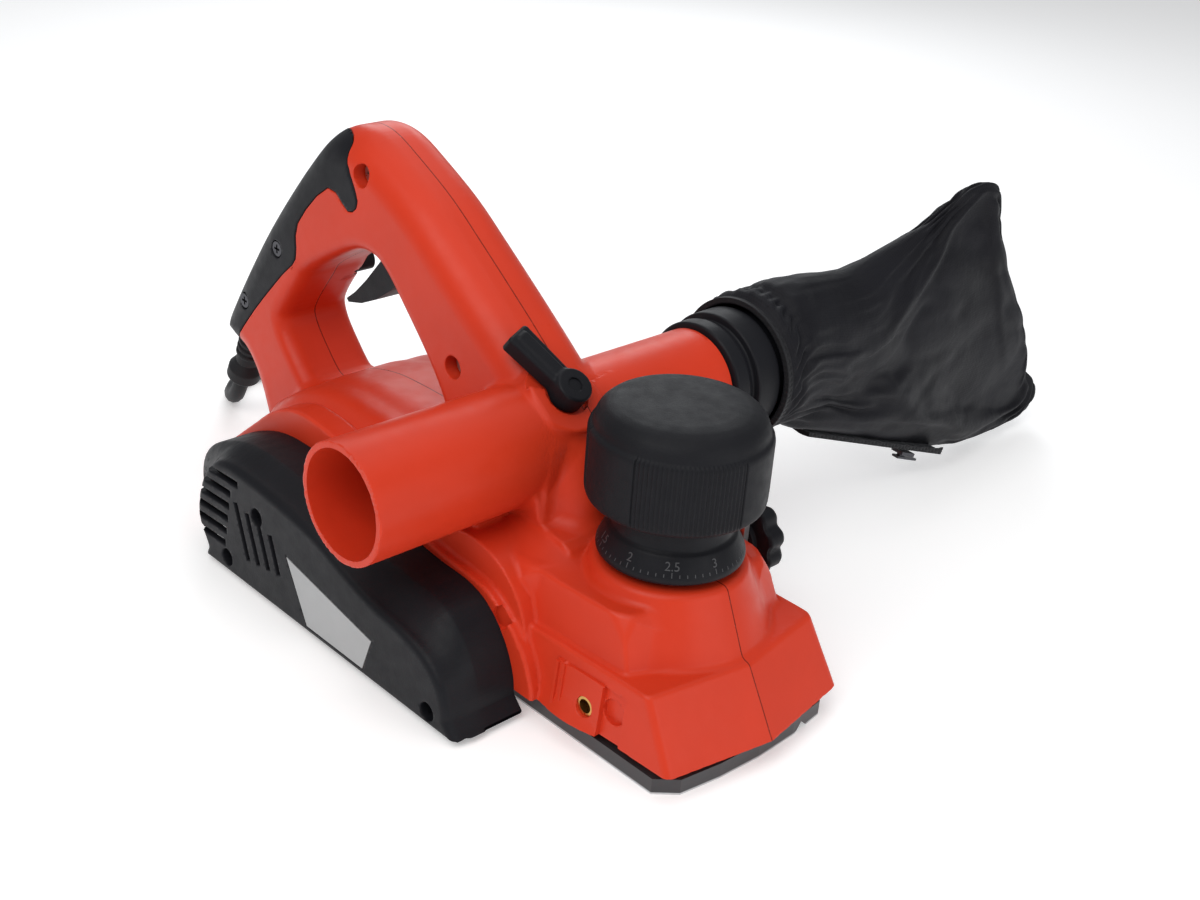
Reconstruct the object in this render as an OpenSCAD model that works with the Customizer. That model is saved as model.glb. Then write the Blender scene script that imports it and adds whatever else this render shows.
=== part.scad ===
// Electric hand planer, 82 mm cut, with front depth knob, two-way chip outlet
// and cloth dust bag. Millimetres. Origin: middle of the rear sole face's front
// region, on the plane of both soles. +X towards the nose, +Y to the left side
// (bag side), +Z up. Both soles lie at z = 0 at a cutting depth of zero.

/* [Soles] */
// Width of both soles and of the cut
sole_w = 82; // [80:0.5:82]
// Thickness of the sole plates
sole_t = 6; // [5.5:0.1:6]
// Length of the nose in front of the knob axis
nose_len = 47.6; // [46:0.2:50]

/* [Cutter] */
// Radius swept by the cutting edges
cut_r = 24; // [23.5:0.1:24]
// Radius of the cutter drum body
drum_r = 21.5; // [20.5:0.1:21.5]
// Radius of the belt pulley on the drum
drum_pulley_r = 11; // [10:0.1:11]
// Radius of the belt pulley on the motor
motor_pulley_r = 9; // [8:0.1:9]

/* [Motor] */
// Outer radius of the stator core
stator_r = 26; // [25:0.1:26]
// Radius of the armature core
rotor_r = 14.5; // [13:0.1:14.5]

/* [Depth setting] */
// Radius of the front knob
knob_r = 30; // [28:0.1:31]
// Radius of the graduated dial under the knob
dial_r = 24.8; // [23:0.1:25]

/* [Chip outlet] */
// Outer radius of the chip tube
tube_r = 20.8; // [20.4:0.1:21.5]
// Bore radius of the chip tube
tube_bore = 18.6; // [18.6:0.1:18.8]

/* [Housing] */
// Wall thickness of the moulded shells
wall = 2.8; // [2.4:0.1:3]
// Half width of the handle
grip_hw = 17.5; // [17:0.1:17.5]

/* [Hidden] */
$fn = 64;
e = 0.01;

drum_x = 50;  drum_z = 24;       // cutter axis
motor_x = -45; motor_z = 33;     // motor axis
knob_x = 100;                    // depth spindle axis
tube_x = 41;  tube_z = 76.6;     // chip tube axis
lever_p = [50.8, -5, 95.2];           // chip lever pivot on the handle
lever_tilt = 38.3;               // lever axis leans forward by this
hw = 47.5;                       // half width over the side flanges
pul_y0 = -61; pul_y1 = -51;      // belt run

// ---------- helpers ----------
// extrude an XZ outline from y0 to y1
module prof(pts, y0, y1) translate([0, y1, 0]) rotate([90, 0, 0])
  linear_extrude(y1 - y0) polygon(pts);
module prof2(y0, y1) translate([0, y1, 0]) rotate([90, 0, 0])
  linear_extrude(y1 - y0) children();
module ycyl(x, z, r, y0, y1) translate([x, y1, z]) rotate([90, 0, 0])
  cylinder(r = r, h = y1 - y0);
module yring(x, z, ro, ri, y0, y1) difference() {
  ycyl(x, z, ro, y0, y1); ycyl(x, z, ri, y0 - 1, y1 + 1); }
module zcyl(x, y, r, z0, z1) translate([x, y, z0]) cylinder(r = r, h = z1 - z0);
// cross-headed screw along +Y: head at y0, tip towards y1
module yscrew(x, y0, y1, z, rs, rh, hh) {
  difference() {
    ycyl(x, z, rh, y0, y0 + hh);
    for (a = [0, 90]) translate([x, y0 + 0.6, z]) rotate([0, a, 0])
      cube([rh * 1.2, 1.4, 0.9], center = true);
  }
  ycyl(x, z, rs, y0 + hh - e, y1);
}
// tube of radius r along points P, n sides, closed ends
function vsub(a, b) = a - b;
function unit(v) = v / max(norm(v), 1e-9);
function tang(P, i) = unit(P[min(i + 1, len(P) - 1)] - P[max(i - 1, 0)]);
function side0(t) = abs(t[2]) < 0.9 ? unit(cross(t, [0, 0, 1])) : unit(cross(t, [0, 1, 0]));
function ring(P, i, r, n, s) = let(t = tang(P, i), a = unit(s - t * (s * t)), b = cross(t, a))
  [for (k = [0:n - 1]) P[i] + r * (cos(360 * k / n) * a + sin(360 * k / n) * b)];
function frames(P, i, s) = i >= len(P) ? [] : let(t = tang(P, i), a = unit(s - t * (s * t)))
  concat([a], frames(P, i + 1, a));
module tube(P, r, n) {
  m = len(P);
  A = frames(P, 0, side0(tang(P, 0)));
  pts = [for (i = [0:m - 1]) each ring(P, i, r, n, A[i])];
  faces = concat([[for (k = [0:n - 1]) k]],
    [for (i = [0:m - 2], k = [0:n - 1]) [i * n + k, (i + 1) * n + k,
      (i + 1) * n + (k + 1) % n, i * n + (k + 1) % n]],
    [[for (k = [n - 1:-1:0]) (m - 1) * n + k]]);
  polyhedron(points = pts, faces = faces, convexity = 10);
}
// smooth curve through hand-chosen points (Catmull-Rom), k steps a span
function cr(a, b, c, d, t) = 0.5 * ((2 * b) + (c - a) * t + (2 * a - 5 * b + 4 * c - d) * t * t
  + (3 * b - a - 3 * c + d) * t * t * t);
function curve(P, k) = concat([for (i = [0:len(P) - 2], j = [0:k - 1])
  cr(P[max(i - 1, 0)], P[i], P[i + 1], P[min(i + 2, len(P) - 1)], j / k)], [P[len(P) - 1]]);
// helical spring along +Z
function coil_pts(rm, h, turns, s) = [for (i = [0:turns * s])
  [rm * cos(360 * i / s), rm * sin(360 * i / s), h * i / (turns * s)]];

// ---------- side outlines (x, z) ----------
// whole side silhouette of handle and body
side_pts = [[-112, 9.5], [-118, 16], [-122, 26], [-127, 37], [-134, 45], [-143, 48.5],
  [-149, 52], [-149.6, 58], [-144, 68], [-131.5, 87], [-116.5, 108], [-98.5, 130], [-84.5, 145.5],
  [-76, 153.5], [-68, 158.4], [-60, 160.4], [-50, 159.2], [-37, 153.6], [-18, 143.8],
  [0, 131.6], [20, 117.4], [36, 105.6], [50, 94.4], [62, 83], [69.5, 71], [73.2, 61], [74, 50],
  [77, 40], [77, 9.5]];
// finger opening
grip_pts = [[-84, 51.5], [-76, 55.5], [-66, 61], [-50, 65.2], [-34, 66.5], [-4, 67], [-1, 69],
  [-3, 76], [-12, 88], [-26, 102.5], [-36, 112], [-43, 115.5], [-53, 115], [-66, 109], [-84, 98],
  [-90, 91], [-101, 76], [-102, 70], [-95, 61]];
// black rear cover, side view
cover_pts = [[-153, 46], [-154, 60], [-147, 72], [-122, 108], [-104, 131], [-80, 157],
  [-66, 165], [-57, 163], [-57, 150], [-50.5, 136.5], [-56.5, 131], [-69, 136.5],
  [-89, 117], [-91, 102], [-101, 92], [-122, 70], [-140, 48], [-141, 46]];
// body behind the chip tube
body_pts = [[-97, 9.5], [-100, 19], [-98, 30], [-91, 41], [-80, 53], [-66, 61.5],
  [-50, 65.6], [-34, 66.5], [0, 66.5], [30, 70], [57.5, 68.5], [63.5, 57.5], [80, 50], [80, 9.5]];
// side flange round the belt cover
flange_pts = [[-97, 9.5], [-99, 20], [-96, 29], [-87, 37], [-76, 46], [-64, 55.5],
  [-51, 61.5], [-40, 63], [-24, 61.5], [-6, 56], [14, 49], [36, 43.5], [52, 42],
  [64, 40], [75, 33], [83, 24], [87, 15], [88, 9.5]];
// belt cover, inner and outer outlines
bc_in = [[-72, 2.5], [-82, 9], [-88, 20], [-88, 31], [-80, 40], [-66, 47], [-54, 50.5],
  [-40, 51.5], [-20, 50], [4, 46], [26, 42], [40, 40.4], [54, 39.6], [64, 36], [73, 27],
  [78, 17], [79.5, 2.5]];
bc_out = [[-61, 2.5], [-67, 6], [-72, 14], [-72.5, 24], [-68, 36], [-61, 44], [-52, 47.6],
  [-40, 48.4], [-18, 47], [5, 43.6], [26, 36.8], [40, 33.2], [53, 31.4], [66, 27.6],
  [74, 21], [77.5, 16], [78.5, 2.5]];

// ---------- housing ----------
module side2d() difference() { polygon(side_pts); polygon(grip_pts); }
module plan_body(z0, z1, hy, nose, corner) translate([0, 0, z0]) linear_extrude(z1 - z0)
  polygon([[76, -hy], [corner, -hy + 2.5], [nose, 0], [corner, hy - 2.5], [76, hy]]);
module housing_outer() {
  prof2(-8, 8) side2d();
  prof2(-13.5, 13.5) offset(delta = -1.6) side2d();
  prof2(-grip_hw, grip_hw) offset(delta = -5) side2d();
  prof(body_pts, -24, 24);
  difference() {
    union() {
      prof2(-33, 33) offset(delta = -1.8) polygon(body_pts);
      prof2(-39, 39) offset(delta = -4.8) polygon(body_pts);
    }
    // deck level beside the shoulder
    for (s = [-1, 1]) translate([47, s > 0 ? 24 : -60, 50]) cube([60, 36, 40]);
  }
  prof(flange_pts, -hw, -38);
  prof(flange_pts, 38, hw);
  // hood over the cutter
  ycyl(drum_x, drum_z, 30, -43.8, 43.8);
  // nose block with sloping front
  hull() {
    plan_body(9.5, 10, 44, 152, 145);
    plan_body(31.5, 32.5, 42, 138.8, 133);
  }
  // deck under the dial
  hull() {
    plan_body(32, 32.5, 38.6, 135, 128);
    plan_body(49, 50, 36.6, 128, 113.5);
    translate([50, -37.6, 32]) cube([20, 75.2, 0.5]);
    translate([50, -36.6, 49]) cube([20, 73.2, 1]);
  }
  translate([knob_x, 0, 46]) cylinder(r1 = 30, r2 = 26, h = 9);
  // shoulder between handle and deck
  translate([tube_x + 14, 0, 0]) rotate([0, 0, 0]) hull() {
    translate([-20, -24, 44]) cube([28.6, 48, 1]);
    translate([-20, -22, 60]) cube([28, 44, 1]);
    translate([-26, -19, 84]) cube([29.6, 38, 1]);
  }
  ycyl(tube_x, tube_z, tube_r, -89.6, 69.8);
  // spigot-side bearing caps
  ycyl(drum_x, drum_z + 0, 15.6, 38, 52.4);
}
module chute_pts() polygon([[62, 44], [77.5, 32], [77, 43], [66, 47], [60, 57], [56, 78], [40, 70],
  [50, 50]]);
module housing_voids() {
  // hollow handle
  prof2(-13.4, 13.4) offset(delta = -wall - 3) difference() {
    polygon([[-130, 44], [-146, 54], [-131, 84], [-99, 126], [-80, 146], [-60, 157], [-38, 149.5],
      [0, 127], [24, 110], [14, 84], [0, 66], [-90, 60], [-117, 58], [-116, 40]]);
    polygon(grip_pts);
  }
  // motor room
  difference() {
    prof2(-36, 36) offset(delta = -wall - 4.8) polygon([[-100, 0], [-102, 19], [-98, 30],
      [-91, 41], [-80, 53], [-66, 61.5], [-50, 65.6], [-34, 66.5], [4, 66], [16, 52], [16, 0]]);
    // ribs that carry the motor
    for (y = [-24, 13]) prof([[-110, 6], [-110, 62], [10, 62], [10, 6]], y, y + 3);
  }
  ycyl(motor_x, motor_z, stator_r + 0.02, -29, 22);
  // room for the brush gear
  translate([motor_x - 36, 19, motor_z - 8]) cube([72, 12, 16]);
  ycyl(motor_x, motor_z, 27.4, -41.6, -26);
  // cutter room, open below
  ycyl(drum_x, drum_z, 27, -41.6, 41.6);
  // chip way up to the tube
  prof2(-15, 15) chute_pts();
  prof([[62, 36], [77.5, 28], [77.5, 42], [60, 48]], -36, 36);
  ycyl(tube_x, tube_z, tube_bore, -95, -59.6);
  ycyl(tube_x, tube_z, 17.9, -95, 75);
  ycyl(tube_x, tube_z, 18.9, 46, 75);
  // under side of the nose
  hull() {
    plan_body(9, 10, 40.6, 147, 140.5);
    plan_body(28, 29.5, 38.4, 135, 129);
  }
  hull() {
    plan_body(28, 28.5, 34.5, 131, 124);
    plan_body(45, 46.5, 31, 122, 109);
  }
  prof([[70, 9], [70, 29], [84, 29], [84, 9]], -41.2, 41.2);
  // nothing hangs below the lower rim
  translate([-200, -60, -50]) cube([400, 120, 59.5]);
  // floor opening for the base plate
  translate([-125, -41.3, -1]) cube([160, 82.6, 10.5 + 1.5]);
  // cheeks and bearing hubs of the base
  for (s = [-1, 1]) {
    prof([[-13, 8], [-13, 28], [20, 35.4], [40, 39.4], [57, 39.4], [71, 28], [73.5, 8]],
      s > 0 ? 41 : -45.2, s > 0 ? 45.2 : -41);
  }
  ycyl(drum_x, drum_z, 15, -60, -40);
  ycyl(drum_x, drum_z, 13.8, 41, 50.3);
  // motor bearing seats and shaft
  ycyl(motor_x, motor_z, 11, -49.5, -41);
  ycyl(motor_x, motor_z, 9.5, 38, 45);
  ycyl(motor_x, motor_z, 6, -60, 46);
}
module housing_solid() {
  difference() {
    union() {
      difference() { housing_outer(); housing_voids(); }
      // motor bearing hub on the belt side
      yring(motor_x, motor_z, 14.5, 11, -49.5, -41.6);
      // guide sockets for the shoe posts and spindle nut seat
      for (p = [[88, -30], [88, 30], [126, 0]]) zcyl(p[0], p[1], 7.6, 24, 31);
      for (p = [[88, -30], [88, 30], [126, 0]]) zcyl(p[0], p[1], 6.6, 30, p[0] > 100 ? 45.5 : 36.5);
      zcyl(knob_x, 0, 13, 28, 47);
      ycyl(rk_x, 38, 8.5, 20, 44);
      translate(lever_p) rotate([0, lever_tilt, 0]) intersection() {
        translate([0, 0, -3]) cylinder(r = 15, h = 4);
        translate([-30, -12, -5]) cube([60, 24, 8]);
      }
      // screw columns
      for (p = [[-48.5, 146.5], [6, 92], [-111, 24]]) ycyl(p[0], p[1], 4.6, -13.6, 13.6);
      // tie plates joining the columns to the walls
      prof([[-50.5, 146], [-50.5, 154], [-46.5, 154], [-46.5, 146]], -13.6, 13.6);
      prof([[4, 90], [4, 94], [22, 94], [22, 90]], -13.6, 13.6);
    }
    for (p = [[88, -30], [88, 30], [126, 0]]) zcyl(p[0], p[1], 4.05, 20, p[0] > 100 ? 43.5 : 36);
    zcyl(knob_x, 0, 5.6, 20, 60);
    zcyl(knob_x, 0, 9, 31, 43);
    // screw holes: clearance on the right, pilot on the left
    for (p = hs_screws) {
      ycyl(p[0], p[1], 2.2, -20, 0);
      ycyl(p[0], p[1], 1.6, -1, 12.4);
      ycyl(p[0], p[1], 4.2, -40, -10.5);
    }
    // short rim screws into the base cheek
    ycyl(68, 31.5, 3.6, -60, -46.2);
    ycyl(68, 31.5, 2.2, -60, -44);
    // trigger slot
    prof([[-86, 84], [-86, 104], [-66, 124], [-40, 127], [-27, 122], [-33, 106], [-60, 100], [-76, 86]], -7.6, 7.6);
    ycyl(trig_pin[0], trig_pin[1], 2.03, -14.6, 14.6);
    // lock button hole
    ycyl(-98, 92, 4.5, 8, 30);
    ycyl(-98, 92, 5.6, 7, 13.6);
    // lever seat and pin hole
    translate(lever_p) rotate([0, lever_tilt, 0]) {
      cylinder(r = 8.6, h = 30);
      translate([0, 0, -1.2]) cylinder(r = 8.6, h = 30);
      translate([0, 0, -1.2]) rotate([0, 0, 102]) rotate_extrude(angle = 142) square([28.6, 30]);
      translate([0, 0, -12]) cylinder(r = 2.6, h = 20);
    }
    // belt cover screw bosses
    for (p = bc_screws) ycyl(p[0], p[1], 1.6, -60, -39);
    // inserts for the fence screw, both sides
    for (s = [-1, 1]) {
      ycyl(108, 17, 3.4, s > 0 ? 34 : -60, s > 0 ? 60 : -34);
      ycyl(119, 20, 4.4, s > 0 ? 42 : -60, s > 0 ? 60 : -42);
    }
    // rabbet stop track
    translate([rk_x - 7, 44.3, 8]) cube([14, 4, 40]);
    ycyl(rk_x, 38, 3.1, 22, 60);
    // cord entry
    translate([-146, 0, 53]) rotate([0, 180 + guard_tilt, 0]) translate([0, 0, -14]) cylinder(r = 5.2, h = 40);
    translate([-146, 0, 53]) rotate([0, 180 + guard_tilt, 0]) translate([0, 0, -6]) cylinder(r = 7.2, h = 4);
    // base screws
    for (p = base_scr) zcyl(p[0], p[1], 1.7, 0, 22);
    // cooling slots in the left side
    for (k = [0:5]) translate([-80 + 9 * k, 36, 22]) cube([4, 14, 24 - k]);
    // recess of the base's left bracket
    translate([-10.6, 29.4, 5]) cube([31.2, 13.6, 11.6]);
    // way of the cord into the handle
    translate([-141, 0, 64.6]) rotate([0, 63, 0]) cylinder(r = 5, h = 18);
    // cover recess
    prof2(-30, -13.9) polygon(cover_pts);
    prof2(13.9, 30) polygon(cover_pts);
    prof2(-14, 14) difference() { polygon(cover_pts); offset(delta = -8.6) side2d(); }
    for (p = hc_screws) ycyl(p[0], p[1], 1.55, -20, -9);
  }
  // bosses that take the fence insert
  for (s = [-1, 1]) difference() {
    ycyl(108, 17, 6.4, s > 0 ? 36 : -42.4, s > 0 ? 42.4 : -36);
    ycyl(108, 17, 3.4, s > 0 ? 30 : -60, s > 0 ? 60 : -30);
  }
  // seats for the base screws
  for (p = base_scr) difference() {
    zcyl(p[0], p[1], 5, 6, 13);
    zcyl(p[0], p[1], 1.7, 0, 22);
  }
}
bc_screws = [[68.5, 7], [-52, 8], [-31, 34.5]];
rk_x = 88;                       // rabbet stop knob
base_scr = [[-100, -30], [-100, 30], [12, -30], [12, 20]];
module housing_right() color([0.85, 0.24, 0.13]) intersection() {
  housing_solid(); translate([-300, -200, -10]) cube([600, 200, 300]); }
module housing_left() color([0.85, 0.24, 0.13]) intersection() {
  housing_solid(); translate([-300, 0, -10]) cube([600, 200, 300]); }

hs_screws = [[-48.5, 146.5], [6, 92], [-111, 24]];
module housing_screws() color("silver") for (p = hs_screws)
  yscrew(p[0], -12.9, 11.8, p[1], 1.6, 3.4, 2.4);
module handle_rear_cover() color([0.13, 0.13, 0.15]) difference() {
  union() {
    prof2(-8, 8) intersection() { side2d(); polygon(cover_pts); }
    prof2(-13.5, 13.5) intersection() { offset(delta = -1.6) side2d(); polygon(cover_pts); }
    prof2(-grip_hw, grip_hw) intersection() { offset(delta = -5) side2d(); polygon(cover_pts); }
  }
  prof2(-6, 6) offset(delta = -2.6) side2d();
  prof2(-10.8, 10.8) offset(delta = -4.4) side2d();
  prof2(-13.9, 13.9) offset(delta = -7.6) side2d();
  ycyl(-98, 92, 4.6, 8, 30);
  for (p = hc_screws) { ycyl(p[0], p[1], 1.9, -30, 30); ycyl(p[0], p[1], 3.4, -30, -15.5); }
  translate([-146, 0, 53]) rotate([0, 180 + guard_tilt, 0]) translate([0, 0, -14]) cylinder(r = 8, h = 40);
}
hc_screws = [[-104, 102], [-129, 72]];
module handle_cover_screws() color("silver") for (p = hc_screws)
  yscrew(p[0], -17.3, -10, p[1], 1.5, 3, 1.8);

// ---------- belt side ----------
module bc_shell() difference() {
  hull() {
    prof(bc_in, -63, -hw);
    prof2(-73.5, -63) polygon(bc_out);
    prof2(-75.7, -73) offset(delta = -1.6) polygon(bc_out);
  }
  prof2(-63, -hw + 1) offset(delta = -2.2) polygon(bc_in);
  prof2(-73.2, -62.9) offset(delta = -2.4) polygon(bc_out);
}
module belt_cover() color([0.14, 0.14, 0.16]) difference() {
  union() {
    bc_shell();
    for (p = bc_screws) ycyl(p[0], p[1], 4.2, -74, p[1] > 20 ? -49.6 : -hw);
  }
  for (p = bc_screws) { ycyl(p[0], p[1], 2.1, -80, -40); ycyl(p[0], p[1], 3.3, -80, -66); }
  // air slots over the motor end
  for (k = [0:4]) translate([-70 + 1.4 * k, -80, 39 - 6.2 * k]) rotate([0, 14, 0]) cube([26 - 1.5 * k, 8, 2.4]);
  for (k = [0:2]) translate([-37 + 7 * k, -80, 10]) rotate([0, -20, 0]) cube([2.2, 8, 20]);
  // shallow seat of the rating plate
  prof([[-12.3, 27.4], [38.3, 18.5], [33.2, 4.3], [-0.2, 4.3]], -76, -75.35);
}
module belt_cover_screws() color("silver") for (p = bc_screws)
  yscrew(p[0], -68.6, -41, p[1], 1.6, 3, 2.2);
module rating_plate() color([0.75, 0.76, 0.77])
  prof([[-12, 27.1], [38, 18.2], [33, 4.6], [0, 4.6]], -75.7, -75.35);
module drum_pulley() color([0.62, 0.63, 0.65]) difference() {
  union() {
    ycyl(drum_x, drum_z, drum_pulley_r, pul_y0, pul_y1);
    ycyl(drum_x, drum_z, drum_pulley_r + 1.6, pul_y1 - e, pul_y1 + 0.8);
  }
  ycyl(drum_x, drum_z, 4, pul_y0 - 1, pul_y1 + 2);
}
module motor_pulley() color([0.62, 0.63, 0.65]) difference() {
  ycyl(motor_x, motor_z, motor_pulley_r, pul_y0, pul_y1 + 0.8);
  ycyl(motor_x, motor_z, 4, pul_y0 - 1, pul_y1 + 2);
}
// outline of a loop round both pulleys, k steps on each arc
function loop_pts(r1, r2, b, L, k) = concat(
  [for (i = [0:k]) let(q = 90 + b + (180 - 2 * b) * i / k) [r1 * cos(q), r1 * sin(q)]],
  [for (i = [0:k]) let(q = 270 - b + (180 + 2 * b) * i / k) [L + r2 * cos(q), r2 * sin(q)]]);
module drive_belt() color([0.08, 0.08, 0.08]) {
  g = 0.1; t = 1.6;
  dx = drum_x - motor_x; dz = drum_z - motor_z; L = sqrt(dx * dx + dz * dz);
  rb = drum_pulley_r + g; rs = motor_pulley_r + g;
  a = atan2(dz, dx); b = asin((rb - rs) / L);
  prof2(pul_y0 + 0.8, pul_y1 - 0.8) translate([motor_x, motor_z]) rotate(a) difference() {
    polygon(loop_pts(rs + t, rb + t, b, L, 24));
    polygon(loop_pts(rs, rb, b, L, 24));
  }
}

// ---------- base ----------
module base_frame() color([0.6, 0.61, 0.63]) difference() {
  union() {
    translate([-108, -sole_w / 2, 0]) cube([146, sole_w, sole_t]);
    translate([-112, -36, 0]) cube([5, 72, sole_t]);
    // right cheek, joined to the plate's edge
    prof([[-10, 3], [-10, 25], [20, 33], [40, 38], [56, 38], [68, 28], [72, 11], [63, 11], [30, 3]], -45, -41.8);
    translate([-10, -43, 0.6]) cube([34, 4, 5.4]);
    // left cheek, clear of the workpiece edge
    prof([[-10, 10.5], [-10, 25], [20, 33], [40, 38], [56, 38], [68, 28], [72, 10.5]], 41.8, 45);
    translate([-10, 30, 5]) cube([30, 10.6, 11]);
    translate([-10, 36, 10.5]) cube([30, 6.4, 5.5]);
    ycyl(drum_x, drum_z, 13.4, -50, -41.8);
    ycyl(drum_x, drum_z, 13.4, 41.8, 50);
  }
  ycyl(drum_x, drum_z, 26.4, -41.6, 41.6);
  ycyl(drum_x, drum_z, 11, -51, -43);
  ycyl(drum_x, drum_z, 11, 43, 51);
  ycyl(drum_x, drum_z, 7, -60, 60);
  ycyl(68, 31.5, 1.6, -46, -41);
  for (p = base_scr) { zcyl(p[0], p[1], 2.2, -1, 7);
    translate([p[0], p[1], 0.6]) cylinder(r1 = 4.2, r2 = 2.2, h = 2);
    zcyl(p[0], p[1], 4.2, -1, 0.62); }
  // air slots along the rear sole
  for (k = [0:5]) translate([-92 + 16 * k, -1.5, -1]) cube([10, 3, 2]);
}
module base_screws() color("silver") for (p = base_scr) {
  difference() {
    translate([p[0], p[1], 0.6]) cylinder(r1 = 4, r2 = 2, h = 2);
    translate([p[0], p[1], 0.6]) for (a = [0, 90]) rotate(a) cube([5, 0.9, 1.6], center = true);
  }
  zcyl(p[0], p[1], 1.7, 2.4, 18);
}
shoe_pts = [[66, -41], [138.5, -41], [144.6, -34], [146.8, -18], [147.6, 0], [146.8, 18], [144.6, 34],
  [138.5, 41], [66, 41]];
module front_shoe() color([0.2, 0.2, 0.22]) difference() {
  union() {
    linear_extrude(sole_t) polygon(shoe_pts);
    for (p = [[88, -30], [88, 30], [126, 0]]) zcyl(p[0], p[1], 4, 5, p[0] > 100 ? 38 : 31);
    zcyl(knob_x, 0, 11.5, 5, 12);
  }
  ycyl(drum_x, drum_z, 26.6, -50, 50);
  ycyl(drum_x, drum_z - 3, 26.6, -50, 50);
  // V groove for chamfering edges
  translate([50, 23, 0]) rotate([0, 90, 0]) linear_extrude(110) polygon([[-3.4, 0], [0.1, -3.6], [0.1, 3.6]]);
  // spindle seat
  zcyl(knob_x, 0, 5.05, 3.4, 20);
  zcyl(knob_x, 0, 8.05, 8.5, 20);
}
module depth_bolt() color("silver") {
  zcyl(knob_x, 0, 5, 3.6, 76.5);
  zcyl(knob_x, 0, 7.8, 8.7, 10.6);
}
module bolt_retainer() color([0.5, 0.5, 0.52]) difference() {
  zcyl(knob_x, 0, 8.05, 10.8, 12);
  zcyl(knob_x, 0, 5.05, 5, 15);
}
module depth_nut() color([0.72, 0.58, 0.3]) difference() {
  zcyl(knob_x, 0, 9, 31, 43);
  zcyl(knob_x, 0, 5.05, 20, 60);
}
module shoe_springs() color("silver") for (y = [-30, 30])
  translate([88, y, 7]) tube(coil_pts(5.6, 16, 4, 12), 0.7, 6);
module depth_dial() color([0.1, 0.1, 0.11]) difference() {
  union() {
    translate([knob_x, 0, 57.2]) cylinder(r1 = dial_r, r2 = dial_r - 3.4, h = 9.5);
    zcyl(knob_x, 0, 20.5, 66, 78);
  }
  zcyl(knob_x, 0, 5, 50, 90);
  zcyl(knob_x, 0, 14, 56, 66);
}
module depth_knob() color([0.12, 0.12, 0.13]) difference() {
  union() {
    translate([knob_x, 0, 0]) rotate_extrude() polygon([[0, 76.5], [28.7, 76.5], [29.7, 77.5], [knob_r, 82],
      [knob_r, 101.5], [29.2, 104], [27, 107.2], [23.6, 109.6], [17, 110.6], [0, 110.6]]);
  }
  zcyl(knob_x, 0, 5, 70, 76.51);
  zcyl(knob_x, 0, 20.6, 70, 78.05);
  for (a = [0:30:330]) translate([knob_x, 0, 0]) rotate(a + 2) translate([knob_r + 0.3, 0, 74]) cylinder(r = 1.1, h = 28, $fn = 16);
}

// ---------- cutter ----------
blade_ang = 20;
module at_drum() translate([drum_x, 0, drum_z]) children();
module drum_slots() for (s = [0, 180]) rotate([0, s + blade_ang, 0])
  translate([8, -42, -2.4]) cube([20, 84, 33]);
module cutter_drum() color([0.66, 0.67, 0.69]) at_drum() difference() {
  union() {
    rotate([90, 0, 0]) translate([0, 0, -41.3]) cylinder(r = drum_r, h = 82.6);
    rotate([90, 0, 0]) translate([0, 0, -49.4]) cylinder(r = 3.96, h = 111);
  }
  drum_slots();
}
module blades() color("silver") at_drum() for (s = [0, 180]) rotate([0, s + blade_ang, 0])
  translate([10.5, -41, -2.4]) cube([cut_r - 10.8, 82, 1.2]);
module blade_clamps() color([0.4, 0.4, 0.42]) at_drum() for (s = [0, 180]) rotate([0, s + blade_ang, 0])
  difference() {
    intersection() {
      translate([8, -41, -1.2]) cube([20, 82, 6.2]);
      rotate([90, 0, 0]) cylinder(r = drum_r, h = 100, center = true);
    }
    for (y = [-28, 0, 28]) translate([13.5, y, -10]) cylinder(r = 3, h = 30);
  }
module blade_screws() color([0.25, 0.25, 0.27]) at_drum() for (s = [0, 180]) rotate([0, s + blade_ang, 0])
  for (y = [-28, 0, 28]) translate([13.5, y, -1.2]) difference() { cylinder(r = 3, h = 8);
    translate([0, 0, 5]) cylinder(r = 1.6, h = 5, $fn = 6); }
module bearing(x, z, ro, ri, y0, y1) {
  yring(x, z, ro, ro - 2, y0, y1);
  yring(x, z, ro - 2 + e, ri + 1.9 - e, y0 + 0.8, y1 - 0.8);
  yring(x, z, ri + 1.9, ri, y0, y1);
}
module drum_bearings() color([0.75, 0.76, 0.78]) {
  bearing(drum_x, drum_z, 11, 4, -50, -43);
  bearing(drum_x, drum_z, 11, 4, 43, 50);
}

// ---------- motor ----------
module motor_shaft() color("silver") ycyl(motor_x, motor_z, 3.96, -61.5, 44.6);
module armature() color([0.45, 0.3, 0.18]) difference() {
  union() {
    ycyl(motor_x, motor_z, rotor_r, -20, 12);
    ycyl(motor_x, motor_z, 12.2, -26, -19.9);
    ycyl(motor_x, motor_z, 12.2, 11.9, 17);
  }
  ycyl(motor_x, motor_z, 3.96, -70, 50);
  for (k = [0:11]) translate([motor_x, -4, motor_z]) rotate([0, 30 * k, 0]) translate([rotor_r, 0, 0])
    cube([2.4, 40, 1.4], center = true);
}
module commutator() color([0.78, 0.5, 0.3]) difference() {
  ycyl(motor_x, motor_z, 9, 19, 31);
  ycyl(motor_x, motor_z, 3.96, -70, 50);
  for (k = [0:11]) translate([motor_x, 25, motor_z]) rotate([0, 30 * k, 0]) translate([9, 0, 0])
    cube([1.4, 14, 0.5], center = true);
}
module fan() color([0.2, 0.22, 0.24]) difference() {
  union() {
    ycyl(motor_x, motor_z, 8, -40, -30);
    ycyl(motor_x, motor_z, 25.4, -40, -38.4);
    for (k = [0:10]) translate([motor_x, 0, motor_z]) rotate([0, 360 / 11 * k, 0])
      translate([7, -39, -0.8]) cube([17.6, 8.6, 1.6]);
  }
  ycyl(motor_x, motor_z, 3.96, -70, 50);
}
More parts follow.
